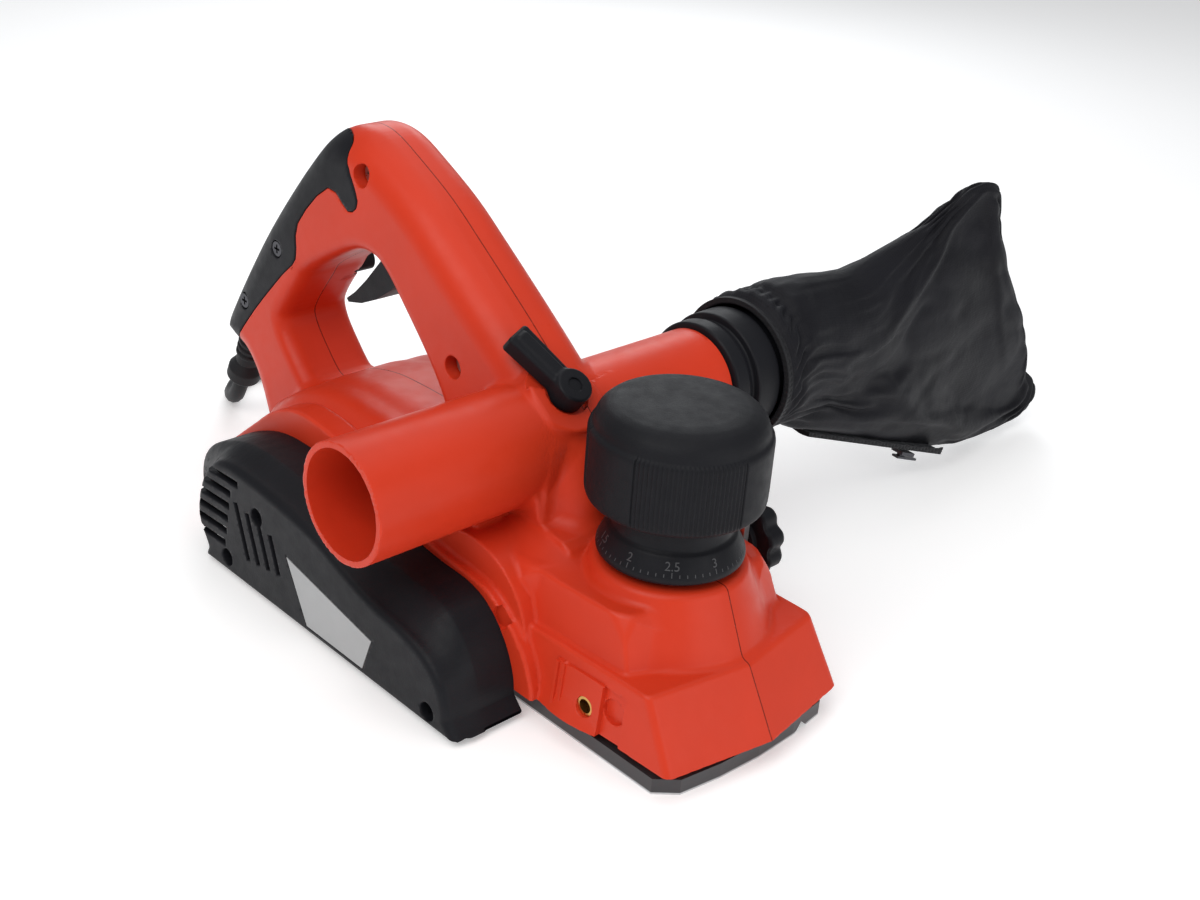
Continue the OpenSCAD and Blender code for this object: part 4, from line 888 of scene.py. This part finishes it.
def housing(x, y, z):
    d = outer_form(x, y, z)
    ay = np.abs(y)
    out = nose_side(x, ay, z)
    d = np.minimum(d, nose_panel(x, y, z, out))
    # stepped seat behind the panel with the round pocket and its notch
    step = np.maximum(np.maximum(np.abs(x - 119.2) - 4.6, z - 27.6), np.maximum(8 - z, -(out + 1.0)))
    d = np.maximum(d, -step)
    d = rint(d, -voids(x, y, z), 0.3)
    # columns over the screws that come up from the base
    for px, py in ((-100, -30), (-100, 30)):
        d = runi(d, rint(np.maximum(np.hypot(x - px, y - py) - 4.6, 9.6 - z), z - 21.5, 1.0), 1.2)
    # columns that carry the handle screws
    for (px, pz) in HS:
        d = np.minimum(d, np.maximum(np.hypot(x - px, z - pz) - 5.6, np.abs(y) - 14.2))
    d = rint(d, -fine_cuts(x, y, z), 0.35)
    cov = sample(F_COVER, x + cover_shift(y, z), z)
    # black rear cover takes this space; a narrow gap shows as a joint line
    hd = handle(x, y, z)
    d = rint(d, -np.maximum(cov - 0.15, -(hd + 3.2)), 0.35)
    d = np.minimum(d, np.maximum(cyl_y(x, y, z, RK, 38, 8.5, 20, 44), -cyl_y(x, y, z, RK, 38, 3.2, 22, 60)))
    return d


def cover_shift(y, z):
    """the edge of the rear cover leans back over the crown of the handle"""
    return 17.0 * sstep_a((15.5 - np.abs(y)) / 12.0) * sstep_a((z - 136) / 14.0)


GUARD_D = np.array([-0.42262, 0, -0.90631])
GUARD_O = np.array([-146.0, 0, 53.0])


def cord_hole(x, y, z, r):
    wx, wz = x - GUARD_O[0], z - GUARD_O[2]
    a = wx * GUARD_D[0] + wz * GUARD_D[2]
    px, pz = wx - a * GUARD_D[0], wz - a * GUARD_D[2]
    return np.maximum(np.sqrt(px * px + y * y + pz * pz) - r, np.abs(a - 4) - 18)


def half(sign):
    def f(x, y, z):
        d = housing(x, y, z)
        d = np.maximum(d, -cord_hole(x, y, z, 7.2))
        return np.maximum(d, -sign * y + 0.04)
    return f


hh = 1.15
import time
t0 = time.time()
for nm, sg, lo, hi in (("housing_right", -1, (-152, -91, 4), (154, 0.5, 163)), ("housing_left", 1, (-152, -0.5, 4), (154, 71, 163))):
    V, Q, N = mesh_field(half(sg), lo, hi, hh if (sg > 0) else 0.85)
    ob = make(nm + "_shell", V * S, Q, "body", RED, normals=N)
    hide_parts(nm)
    print(nm, len(V), round(time.time() - t0, 1))


# upright ribs on the side panels of the nose
for nm, sg in (("right", -1), ("left", 1)):
    RV, RF = [], []
    for cx_, w_, hgt in ((94.6, 0.8, 1.75), (97.5, 0.55, 1.5)):
        k0 = len(RV)
        for zz in (9.4, 27.6):
            base = 44.0 - (cx_ - 76) * 2.5 / 69.0 - (zz - 10) * 0.1126
            for ox, oy in ((-w_, -1.0), (w_, -1.0), (w_ * 0.75, hgt), (-w_ * 0.75, hgt)):
                RV.append((cx_ + ox, sg * (base + oy), zz))
        q = [(0, 1, 2, 3), (7, 6, 5, 4), (0, 4, 5, 1), (1, 5, 6, 2), (2, 6, 7, 3), (3, 7, 4, 0)]
        RF += [tuple(k0 + i for i in (f if sg < 0 else f[::-1])) for f in q]
    make("panel_ribs_" + nm, np.array(RV) * S, RF, "body", RED, smooth=False)


# ------------------------------------------------------------------ black rear cover of the handle
def rear_cover(x, y, z):
    hd = handle(x, y, z) - 0.15
    d = rint(hd, sample(F_COVER, x + cover_shift(y, z), z) + 0.15, 0.6)
    d = np.maximum(d, -(hd + 2.8))
    for (px, pz) in HC:
        d = rint(d, -cyl_y(x, y, z, px, pz, 3.5, -40, -15.4, 0.3), 0.4)
        d = np.maximum(d, -cyl_y(x, y, z, px, pz, 1.9, -40, 40))
    d = np.maximum(d, -cord_hole(x, y, z, 7.6))
    return np.maximum(d, -cyl_y(x, y, z, -98, 92, 4.6, 8, 40, 0.2))


V, Q, N = mesh_field(rear_cover, (-153, -19, 44), (-48, 19, 163), 0.9)
ob = make("handle_back_cover", V * S, Q, "body", BLK, normals=N)
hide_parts("handle_rear_cover")


# ------------------------------------------------------------------ belt cover
F_BI = poly_field(resample(EXT(BC_IN), 4))
F_BO = poly_field(resample(EXT(BC_OUT), 4))


def bc_outer(x, y, z):
    t = np.clip((-y - 62.0) / 11.0, 0, 1)
    t = t * t * (3 - 2 * t) * 0.55 + t * 0.45
    d2 = sample(F_BI, x, z) * (1 - t) + sample(F_BO, x, z) * t
    return d2


def belt_cover(x, y, z):
    d2 = bc_outer(x, y, z)
    d = rint(d2, -(y + 75.7), 3.2)
    d = np.maximum(d, y + HW - 0.1)
    d = rint(d, 2.5 - z, 0.8)
    # hollow
    d = np.maximum(d, -np.maximum(np.maximum(d2 + 2.6, -(y + 73.2)), np.maximum(y + 40, 2.5 - z - 3)))
    for (px, pz) in BCS:
        boss = cyl_y(x, y, z, px, pz, 4.2, -74, -47.7 if pz < 20 else -49.7, 0.3)
        d = np.minimum(d, boss)
        d = rint(d, -cyl_y(x, y, z, px, pz, 3.4, -90, -66.4, 0.2), 0.5)
        d = np.maximum(d, -cyl_y(x, y, z, px, pz, 2.1, -90, -40))
    # louvres at the motor end: short level slots that turn down at their front end
    cut = np.full_like(x, 50.0)
    for k in range(6):
        zc = 41.5 - 5.6 * k - 0.05 * (x + 60)
        x0 = -73.0 + 0.5 * k; x1 = -47.0 - 1.2 * k + (4 if k == 0 else 0)
        cut = np.minimum(cut, np.maximum(np.abs(z - zc - 0.10 * (x + 60)) - 1.15, np.abs(x - (x0 + x1) / 2) - (x1 - x0) / 2))
    for k in range(4):
        u = (x - (-41.0 + 7.0 * k)); ww = z - 24.0
        a = u * 0.94 + ww * 0.34; b = -u * 0.34 + ww * 0.94
        cut = np.minimum(cut, np.maximum(np.abs(a) - 1.15, np.abs(b) - (11 - 1.2 * k)))
    d = rint(d, -np.maximum(cut, y + 70), 0.5)
    # seat of the plate
    pl = np.maximum(plane2(x, z, LAB[0], LAB[1]), np.maximum(plane2(x, z, LAB[1], LAB[2]), np.maximum(plane2(x, z, LAB[2], LAB[3]), plane2(x, z, LAB[3], LAB[0]))))
    return rint(d, -np.maximum(pl - 0.3, y + 75.35), 0.2)


LAB = [(-12, 27.1), (38, 18.2), (33, 4.6), (0, 4.6)]


def plane2(x, z, a, b):
    dx, dz = b[0] - a[0], b[1] - a[1]
    L = math.hypot(dx, dz)
    return ((z - a[1]) * dx - (x - a[0]) * dz) / L


V, Q, N = mesh_field(belt_cover, (-91, -77, 1), (82, -46, 54), 0.95)
ob = make("belt_cover_shell", V * S, Q, "body", BLK, normals=N)
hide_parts("belt_cover")
print("fields", round(time.time() - t0, 1))

# ------------------------------------------------------------------ knob and dial
def knob_mod(T, K, r, h):
    """three panels of fine upright ribs with smooth panels and grooves between them"""
    deg = np.degrees(T)
    cam_dir = -45.0
    r = r.copy()
    hgt = h
    wall = np.clip((hgt - 78.5) / 1.2, 0, 1) * np.clip((103.0 - hgt) / 1.5, 0, 1) * (r > 28.5)
    for c in (cam_dir + 6, cam_dir + 126, cam_dir + 246):
        a = (deg - c + 180) % 360 - 180
        inside = np.clip((34.5 - np.abs(a)) / 0.7, 0, 1)
        rib = 0.5 + 0.5 * np.cos(np.radians(a) * 360 / 2.9)
        r = r + wall * inside * (0.10 - 0.42 * (1 - rib))
        for g in (-35.6, 35.6):
            q = np.abs(a - g)
            r = r - wall * 0.75 * np.clip(1 - q / 0.9, 0, 1)
    return r, h


kp = [(0, 76.5), (20.8, 76.5), (20.8, 77.2), (28.4, 77.2), (29.6, 78.4), (29.9, 80.2), (30.0, 84), (30.0, 90), (30.0, 96), (30.0, 100.6),
      (29.6, 101.9), (28.6, 102.6), (28.3, 103.6), (27.9, 105.2), (26.8, 107.2), (24.6, 109.1), (22.0, 110.1), (18, 110.6), (10, 110.75), (0, 110.8)]
kp2 = smooth_profile(kp, 0.9, 3)
knob = lathe("depth_knob_grip", kp2, None, KNB, origin=(KX, 0, 0), seg=1080, mod=knob_mod)
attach(knob, "knob")
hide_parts("depth_knob")

dp = [(5.2, 57.2), (23.6, 57.2), (24.7, 57.9), (24.9, 59.0), (24.7, 60.2), (21.7, 66.2), (20.9, 66.9), (20.3, 67.6), (20.2, 70), (20.4, 76.4), (5.2, 76.4), (5.2, 57.2)]


def dial_mod(T, K, r, h):
    deg = np.degrees(T)
    tick = (np.abs((deg + 1.8) % 3.6 - 1.8) < 0.42) & (h > 57.6) & (h < 60.0) & (r > 23)
    return np.where(tick, r - 0.0, r), h


dial = lathe("depth_dial_skirt", smooth_profile(dp, 0.5, 3), None, BLK, origin=(KX, 0, 0), seg=400, mod=dial_mod)
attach(dial, "knob")
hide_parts("depth_dial")
PRINT = plastic("scale_print", (0.055, 0.055, 0.060), rough=0.5, gb=0.05)


def cone_pt(theta, s, lift=0.06):
    """a point on the dial's sloping face: theta in degrees, s mm up the slope"""
    a = np.array([24.7, 60.2]); b = np.array([21.7, 66.2])
    L = np.linalg.norm(b - a); t = (b - a) / L; n = np.array([t[1], -t[0]])
    p = a + t * s + n * lift
    return Vector((KX + p[0] * math.cos(math.radians(theta)), p[0] * math.sin(math.radians(theta)), p[1]))


def dial_marks():
    V, F = [], []
    def quad(t0, t1, s0, s1, lift=0.05, n=2):
        for k in range(n):
            a0, a1 = t0 + (t1 - t0) * k / n, t0 + (t1 - t0) * (k + 1) / n
            b = len(V)
            for (t, s_, l) in ((a0, s0, lift), (a1, s0, lift), (a1, s1, lift), (a0, s1, lift), (a0, s0, -0.3), (a1, s0, -0.3), (a1, s1, -0.3), (a0, s1, -0.3)):
                V.append(cone_pt(t, s_, l) * S)
            F.extend([(b, b + 1, b + 2, b + 3), (b + 7, b + 6, b + 5, b + 4), (b, b + 4, b + 5, b + 1), (b + 1, b + 5, b + 6, b + 2), (b + 2, b + 6, b + 7, b + 3), (b + 3, b + 7, b + 4, b)])
    for k in range(60):
        t = 135 + 6 * k
        if k == 0:
            continue
        long_ = k % 6 == 0
        quad(t - 0.35, t + 0.35, 0.25, 2.0 if long_ else 1.3)
    return make("dial_ticks", np.array([tuple(v) for v in V]), F, "knob", PRINT, smooth=False)


dial_marks()
for k in range(0, 7):
    th = 135 + 36 * k
    txt = {0: "0", 1: ".5", 2: "1", 3: "1.5", 4: "2", 5: "2.5", 6: "3"}[k]
    fc = bpy.data.curves.new("num", "FONT")
    fc.body = txt; fc.size = 0.0042; fc.align_x = "CENTER"; fc.extrude = 0.00006; fc.resolution_u = 3
    to = link(bpy.data.objects.new("num", fc))
    bpy.context.view_layer.update()
    dg = bpy.context.evaluated_depsgraph_get()
    me = bpy.data.meshes.new_from_object(to.evaluated_get(dg))
    bpy.data.objects.remove(to)
    co = np.zeros(len(me.vertices) * 3); me.vertices.foreach_get("co", co); co = co.reshape(-1, 3)
    out = np.zeros_like(co)
    for i, c in enumerate(co):
        x, y, z = c / S
        v = cone_pt(th + math.degrees(x / 23.4), 2.5 + y, 0.05 + z)
        out[i] = np.array(v) * S
    me.vertices.foreach_set("co", out.ravel()); me.update()
    me.materials.clear(); me.materials.append(PRINT)
    no = link(bpy.data.objects.new("dial_numeral_%d" % k, me))
    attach(no, "knob")


ia = math.radians(135.0)
iv = []
for rr_, ww_ in ((25.6, 0.15), (28.2, 1.5)):
    for sg in (-1, 1):
        iv.append((rr_, sg * ww_))
pts = [(KX + r_ * math.cos(ia) - w_ * math.sin(ia), r_ * math.sin(ia) + w_ * math.cos(ia)) for r_, w_ in iv]
iq = [(pts[0], pts[1], pts[3], pts[2])][0]
make("index_mark", np.array([(a, b, 54.6) for a, b in iq] + [(a, b, 55.35) for a, b in iq]) * S,
     [(3, 2, 1, 0), (4, 5, 6, 7), (0, 1, 5, 4), (1, 2, 6, 5), (2, 3, 7, 6), (3, 0, 4, 7)], "body", PLATE, smooth=False)


# ------------------------------------------------------------------ chip lever
def lever_world(x, y, z):
    return (x - LEVER_P[0]) * LX[0] + (z - LEVER_P[2]) * LX[2], y - LEVER_P[1], (x - LEVER_P[0]) * LZ[0] + (z - LEVER_P[2]) * LZ[2]


def lever(x, y, z):
    q, s, w = lever_world(x, y, z)
    a = q * math.cos(LANG) + s * math.sin(LANG)
    b = -q * math.sin(LANG) + s * math.cos(LANG)
    hub = rint(np.hypot(q, s) - 6.5, np.abs(w - 3.4) - 4.2, 0.9)
    wid = 4.3 + 0.035 * a
    arm = rint(rint(np.abs(b) - wid, np.abs(a - 13) - 13.4, 1.4), np.abs(w - 3.0) - 3.3, 1.2)
    ridge = rint(rint(np.abs(b) - 2.3, np.abs(a - 13.5) - 11.2, 1.0), np.abs(w - 5.2) - 1.9, 0.9)
    pin = np.maximum(np.hypot(q, s) - 2.5, np.abs(w + 6) - 7)
    d = runi(runi(hub, arm, 1.2), ridge, 0.8)
    d = rint(d, -np.maximum(np.hypot(q, s) - 2.6, 6.9 - w), 0.3)
    return np.minimum(d, pin)


V, Q, N = mesh_field(lever, (22, -24, 80), (66, 10, 122), 0.5)
ob = make("chip_lever_grip", V * S, Q, "chip_gate", BLK, normals=N)
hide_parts("chip_lever")


# ------------------------------------------------------------------ cord guard with rings
def guard(x, y, z):
    wx, wz = x - GUARD_O[0], z - GUARD_O[2]
    a = wx * GUARD_D[0] + wz * GUARD_D[2]
    px, pz = wx - a * GUARD_D[0], wz - a * GUARD_D[2]
    r = np.sqrt(px * px + y * y + pz * pz)
    d = rint(r - np.where(a < 20, 5.0, 5.0), np.abs(a - 8) - 18, 0.5)
    d = np.minimum(d, rint(r - 7.0, np.abs(a + 4.0) - 1.8, 0.3))
    sleeve = rint(r - (5.7 - 0.02 * a), np.abs(a - 15) - 9, 0.6)
    d = np.minimum(d, sleeve)
    for k, (c, ro, t) in enumerate(((8.2, 6.9, 1.1), (12.0, 6.4, 0.9), (15.4, 6.3, 0.9), (18.6, 6.2, 0.9))):
        d = runi(d, rint(r - ro, np.abs(a - c) - t, 0.6), 0.5)
    bell = rint(r - np.clip(5.2 + (a - 24) * 0.5, 5.2, 7.4), np.abs(a - 29) - 5, 1.1)
    d = runi(d, bell, 1.0)
    return np.maximum(d, -(r - 3.55))


V, Q, N = mesh_field(guard, (-170, -9, 17), (-134, 9, 68), 0.55)
ob = make("cord_guard_sleeve", V * S, Q, "body", RUB, normals=N)
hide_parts("cord_guard")


# ------------------------------------------------------------------ collar (ribbed ring)
cp = [(16.4, 48), (18.2, 48), (18.3, 70.3), (22.2, 70.3), (22.9, 70.9), (23.0, 72), (23.0, 76.4), (22.6, 77.5), (21.7, 77.9), (21.6, 79.6),
      (22.0, 80.1), (24.0, 80.3), (24.4, 81), (24.4, 91.2), (24.0, 92.0), (21.6, 92.4), (21.6, 105), (22.5, 105.6), (22.5, 107.4), (21.8, 108), (16.4, 108), (16.4, 48)]
col = lathe("bag_collar_ring", smooth_profile(cp, 0.45, 3), None, BLK, origin=(TX, 0, TZ), axis="y", seg=180)
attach(col, "collar")
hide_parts("bag_collar")


# ------------------------------------------------------------------ rabbet knob
def rk_mod(T, K, r, h):
    lobe = 0.5 + 0.5 * np.cos(T * 10)
    k = np.clip((h - 49.4) / 0.6, 0, 1) * np.clip((r - 12.2) / 2.0, 0, 1)
    return r - k * 1.7 * (1 - lobe) ** 1.5, h


rp = [(0, 38.4), (3, 38.4), (3, 47.6), (9, 47.6), (9, 49.6), (14.8, 49.6), (16, 50.6), (16, 56.2), (15.2, 57.6), (13, 58), (9, 57.9), (8.6, 57.2), (0, 57.2)]
rk = lathe("rabbet_knob_grip", smooth_profile(rp, 0.5, 3), None, BLK, origin=(RK, 0, 38), axis="y", seg=240, mod=rk_mod)
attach(rk, "rabbet_knob")
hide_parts("rabbet_knob")


# ------------------------------------------------------------------ softened edges on carried-over CAD nodes
def bevel(nm, w=0.4, seg=2, ang=32):
    ob = NODES[nm]
    md = ob.modifiers.new("edge", "BEVEL")
    md.width = w * S; md.segments = seg; md.limit_method = "ANGLE"; md.angle_limit = math.radians(ang)
    md.harden_normals = False


for nm, w in (("trigger", 0.8), ("lock_button", 0.5), ("front_shoe", 0.35), ("rabbet_stop", 0.3), ("zip_slider", 0.25), ("switch_body", 0.5)):
    bevel(nm, w)


# ------------------------------------------------------------------ dust bag
BAG_TOP = [(92.8, 103), (97, 106), (104, 114), (112, 117), (124, 116.5), (138, 115), (150, 114.5), (165, 118), (185, 123.5), (205, 128), (222, 131.2), (238, 131.6)]
BAG_BOT = [(92.8, 50.4), (97, 49.8), (104, 47.8), (115, 47.2), (130, 42.8), (145, 37), (170, 26.6), (193, 17.6), (212, 11), (225, 7.2), (238, 4.4), (254, 4.2)]


def bag():
    """lofted sack: round neck, then a flat far end with a long slanted edge; cloth folds come from simulation"""
    nu, nv = 128, 74
    prof_end = [(238, 131.6), (247, 118), (256, 95), (266, 79), (285, 47), (298.5, 21), (299.3, 8), (288, 4.4), (254, 4.2)]
    V = np.zeros((nv, nu, 3))
    th = np.linspace(0, 2 * np.pi, nu, endpoint=False)
    for j in range(nv):
        t = j / (nv - 1)
        # spine from the neck (y 92.8) to the far edge; top and bottom limits for each station
        if t < 0.12:
            k = t / 0.12
            r = 25.2 + (0.4 + 9.0 * k ** 1.6)
            y = 92.8 + 11.0 * k
            cx, cz = 41 + 2.2 * k, 76.6 + 4.4 * k
            hx, hz = r * (1 - 0.10 * k), r
            for i, a in enumerate(th):
                V[j, i] = (cx + hx * math.cos(a), y, cz + hz * math.sin(a))
        else:
            k = (t - 0.12) / 0.88
            # stations sweep: top point and bottom point move along the outline
            st = k
            ytop = 103.8 + (247 - 103.8) * min(1, st / 0.80) if st < 0.80 else 247
            top = outline_top(st); bot = outline_bot(st)
            mid = (top + bot) / 2; half_ = (top - bot) / 2
            cx = 43.2 + 13.0 * sstep(k * 1.05)
            w = 31.0 * (1 - k) ** 0.62 * (1 - 0.18 * math.sin(math.pi * k)) + 2.0
            for i, a in enumerate(th):
                c, s_ = math.cos(a), math.sin(a)
                e = 1.0 - 0.35 * k
                V[j, i] = (cx + w * math.copysign(abs(c) ** (1.0 + 0.25 * k), c), mid[0] + half_[0] * s_, mid[1] + half_[1] * s_)
    return V, nu, nv


def along(P, t):
    P = np.array(P, float)
    d = np.concatenate([[0], np.cumsum(np.linalg.norm(np.diff(P, axis=0), axis=1))]); d /= d[-1]
    return np.array([np.interp(t, d, P[:, 0]), np.interp(t, d, P[:, 1])])


EDGE_TOP = [(104, 116.5), (112, 117.6), (124, 116.8), (138, 115), (150, 114.6), (165, 118), (185, 123.6), (205, 128), (222, 131), (238, 131.2), (246, 121), (256, 96), (266, 79), (276, 61)]
EDGE_BOT = [(104, 46.8), (115, 46.2), (130, 42.2), (145, 36.4), (170, 26.4), (193, 17.6), (212, 11), (225, 7), (238, 4.6), (256, 4.4), (284, 4.6), (297, 7), (299, 18), (286, 45), (276, 61)]


def outline_top(t):
    return along(EDGE_TOP, t)


def outline_bot(t):
    return along(EDGE_BOT, t)


Vb, nu, nv = bag()
P = Vb.reshape(-1, 3)
F = grid_faces(nv, nu, close_v=True)
cap = [tuple(int(q) for q in ((nv - 1) * nu + np.arange(nu)))]
faces = [tuple(int(i) for i in f) for f in F]
bagm = make("dust_bag_cloth", P * S, faces, None, CLOTH)
import bmesh
bm = bmesh.new(); bm.from_mesh(bagm.data)
bm.verts.ensure_lookup_table()
last = [bm.verts[(nv - 1) * nu + i] for i in range(nu)]
for i in range(1, nu // 2):
    a, b = last[(nu // 4 + i) % nu], last[(nu // 4 - i) % nu]
uv = bm.loops.layers.uv.new("UVMap")
# uv in metres along the cloth
ring_len = np.linalg.norm(np.roll(Vb, -1, 1) - Vb, axis=2)
cum_u = np.concatenate([np.zeros((nv, 1)), np.cumsum(ring_len, 1)], 1)
col_len = np.linalg.norm(np.diff(Vb, axis=0), axis=2).mean(1)
cum_v = np.concatenate([[0], np.cumsum(col_len)])
for f in bm.faces:
    idx = [l.vert.index for l in f.loops]
    cols = [i % nu for i in idx]
    wrap = max(cols) - min(cols) > nu // 2
    for l, i, c in zip(f.loops, idx, cols):
        j = i // nu
        cc = c + nu if (wrap and c < nu // 2) else c
        uu = cum_u[j, cc if cc <= nu else nu] - cum_u[j, nu] * 0.5
        l[uv].uv = (uu * S, cum_v[j] * S)
bmesh.ops.remove_doubles(bm, verts=bm.verts, dist=2e-5)
bmesh.ops.recalc_face_normals(bm, faces=bm.faces)
bm.to_mesh(bagm.data); bm.free()


def fold_noise(p, seed, sc):
    from mathutils import noise as mn
    return mn.noise(Vector((p[0] * sc + seed, p[1] * sc - seed * 1.7, p[2] * sc + seed * 0.6)))


# gathered neck, soft creases and dents put in before the cloth settles
me = bagm.data
co = np.zeros(len(me.vertices) * 3); me.vertices.foreach_get("co", co); co = co.reshape(-1, 3) / S
rest = co.copy()
for i, p in enumerate(co):
    y = p[1]
    k = (y - 93) / 207.0
    a = math.atan2(p[2] - 79, p[0] - 45)
    free = sstep((y - 96.5) / 10.0)
    edge = sstep((300 - y) / 30.0) * 0.6 + 0.4
    gath = 0.55 * math.sin(a * 26 + 2.5 * fold_noise(p, 3, 0.03)) * math.exp(-max(0, y - 96) / 9.0) * free
    wr = 2.6 * fold_noise(p, 1.3, 0.022) + 1.2 * fold_noise((p[0], p[1] * 1.0 + p[2] * 0.6, p[2]), 5.1, 0.055)
    cr = 1.5 * (1 - abs(fold_noise((p[0] * 0.3, p[1] * 0.9 + p[2] * 0.5, p[2] * 1.2 - p[1] * 0.3), 8.8, 0.045))) ** 6
    side = math.tanh((p[0] - (43.2 + 13 * sstep(k * 1.05))) / 9.0)
    co[i, 0] += side * (wr * 0.9 - cr) * free * edge
    ra = np.array([p[0] - 43, 0, p[2] - 79]); rl = max(1e-6, np.linalg.norm(ra))
    co[i] += ra / rl * gath
me.vertices.foreach_set("co", (co * S).ravel()); me.update()

pin = bagm.vertex_groups.new(name="pin")
for v in me.vertices:
    y = v.co.y / S
    w = 1.0 if y < 97.5 else max(0.0, 1 - (y - 97.5) / 4.0)
    if y > 296 or (v.co.z / S < 6.5 and y > 225) or (v.co.z / S > 128 and y > 214):
        w = max(w, 0.85)
    if w > 0:
        pin.add([v.index], w, "REPLACE")
cl = bagm.modifiers.new("cloth", "CLOTH")
st = cl.settings
st.quality = 6; st.mass = 0.12
st.tension_stiffness = 28; st.compression_stiffness = 10; st.shear_stiffness = 8; st.bending_stiffness = 0.35
st.tension_damping = 8; st.compression_damping = 8; st.shear_damping = 8; st.bending_damping = 0.8
st.vertex_group_mass = "pin"; st.pin_stiffness = 1.5
st.use_pressure = True; st.uniform_pressure_force = 0.35
st.shrink_min = -0.012
cl.collision_settings.use_collision = False
cl.collision_settings.use_self_collision = True
cl.collision_settings.self_distance_min = 0.0012
sc_ = bpy.context.scene
sc_.frame_start = 1; sc_.frame_end = 26
cl.point_cache.frame_start = 1; cl.point_cache.frame_end = 26
t1 = time.time()
for fr in range(1, 25):
    sc_.frame_set(fr)
dg = bpy.context.evaluated_depsgraph_get()
ev = bagm.evaluated_get(dg).to_mesh()
c2 = np.zeros(len(ev.vertices) * 3); ev.vertices.foreach_get("co", c2); c2 = c2.reshape(-1, 3)
bagm.evaluated_get(dg).to_mesh_clear()
bagm.modifiers.remove(cl)
sc_.frame_set(1)
c0 = co * S
mv = c2 - c0
L = np.linalg.norm(mv, axis=1, keepdims=True)
mv = mv * np.minimum(1, 0.009 / np.maximum(L, 1e-9))
# the stiff zip tape holds the cloth along the underside
zo, za = np.array([0.0459, 0.1339, 0.0404]), np.array([0.118324, 0.936617, -0.329691])
rel = c0 - zo
al = np.clip(rel @ za, 0.0, 0.085)
dist = np.linalg.norm(rel - al[:, None] * za, axis=1)
hold = np.clip((0.022 - dist) / 0.012, 0, 1); hold = hold * hold * (3 - 2 * hold)
c2 = c0 + mv * (1 - hold)[:, None]
c2[:, 2] = np.maximum(c2[:, 2], 0.0034)
me.vertices.foreach_set("co", c2.ravel()); me.update()
print("cloth", round(time.time() - t1, 1), "max move mm", float(L.max()) * 1000)
# thickness of the cloth, then a smoothing level
so = bagm.modifiers.new("thick", "SOLIDIFY"); so.thickness = 0.0009; so.offset = -1
sb = bagm.modifiers.new("sub", "SUBSURF"); sb.levels = 1; sb.render_levels = 1
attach(bagm, "bag")
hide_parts("dust_bag")
me.update()

# ------------------------------------------------------------------ studio
def floor():
    V = [(-3, -3, 0), (3, -3, 0), (3, 3, 0), (-3, 3, 0)]
    ob = make("floor", V, [(0, 1, 2, 3)], None, None, smooth=False)
    mt, nt, b, tc = node_mat("floor_paint")
    n = noise(nt, tc.outputs["Object"], 3.0, 3)
    nt.links.new(ramp(nt, n, [(0.2, (0.93, 0.93, 0.935)), (0.8, (0.955, 0.955, 0.955))]), b.inputs["Base Color"])
    b.inputs["Roughness"].default_value = 0.7
    b.inputs["Specular IOR Level"].default_value = 0.15
    b.inputs["Emission Color"].default_value = (1, 1, 1, 1)
    b.inputs["Emission Strength"].default_value = 0.30
    ob.data.materials.append(mt)


floor()
w = bpy.data.worlds.new("world"); bpy.context.scene.world = w; w.use_nodes = True
bg = w.node_tree.nodes["Background"]; bg.inputs[0].default_value = (0.96, 0.975, 1.0, 1); bg.inputs[1].default_value = 0.31


def area_light(name, loc, target, size, power, color=(1, 1, 1)):
    ld = bpy.data.lights.new(name, "AREA"); ld.shape = "RECTANGLE"; ld.size = size[0]; ld.size_y = size[1]
    ld.energy = power; ld.color = color
    o = link(bpy.data.objects.new(name, ld)); o.location = loc
    o.rotation_euler = (Vector(target) - Vector(loc)).to_track_quat("-Z", "Y").to_euler()
    return o


area_light("key", (0.25, -0.75, 0.95), (0.0, 0.0, 0.05), (0.9, 0.7), 6.4, (1.0, 0.985, 0.96))
area_light("top", (0.05, 0.1, 1.1), (0.0, 0.0, 0.0), (1.2, 1.0), 3.6)
area_light("rim", (-0.7, 0.65, 0.6), (0.0, 0.05, 0.08), (0.6, 0.6), 2.8, (0.95, 0.98, 1.0))
area_light("front", (0.95, 0.1, 0.35), (0.05, 0.0, 0.05), (0.7, 0.5), 1.8)
bpy.context.scene.view_settings.view_transform = "Standard"
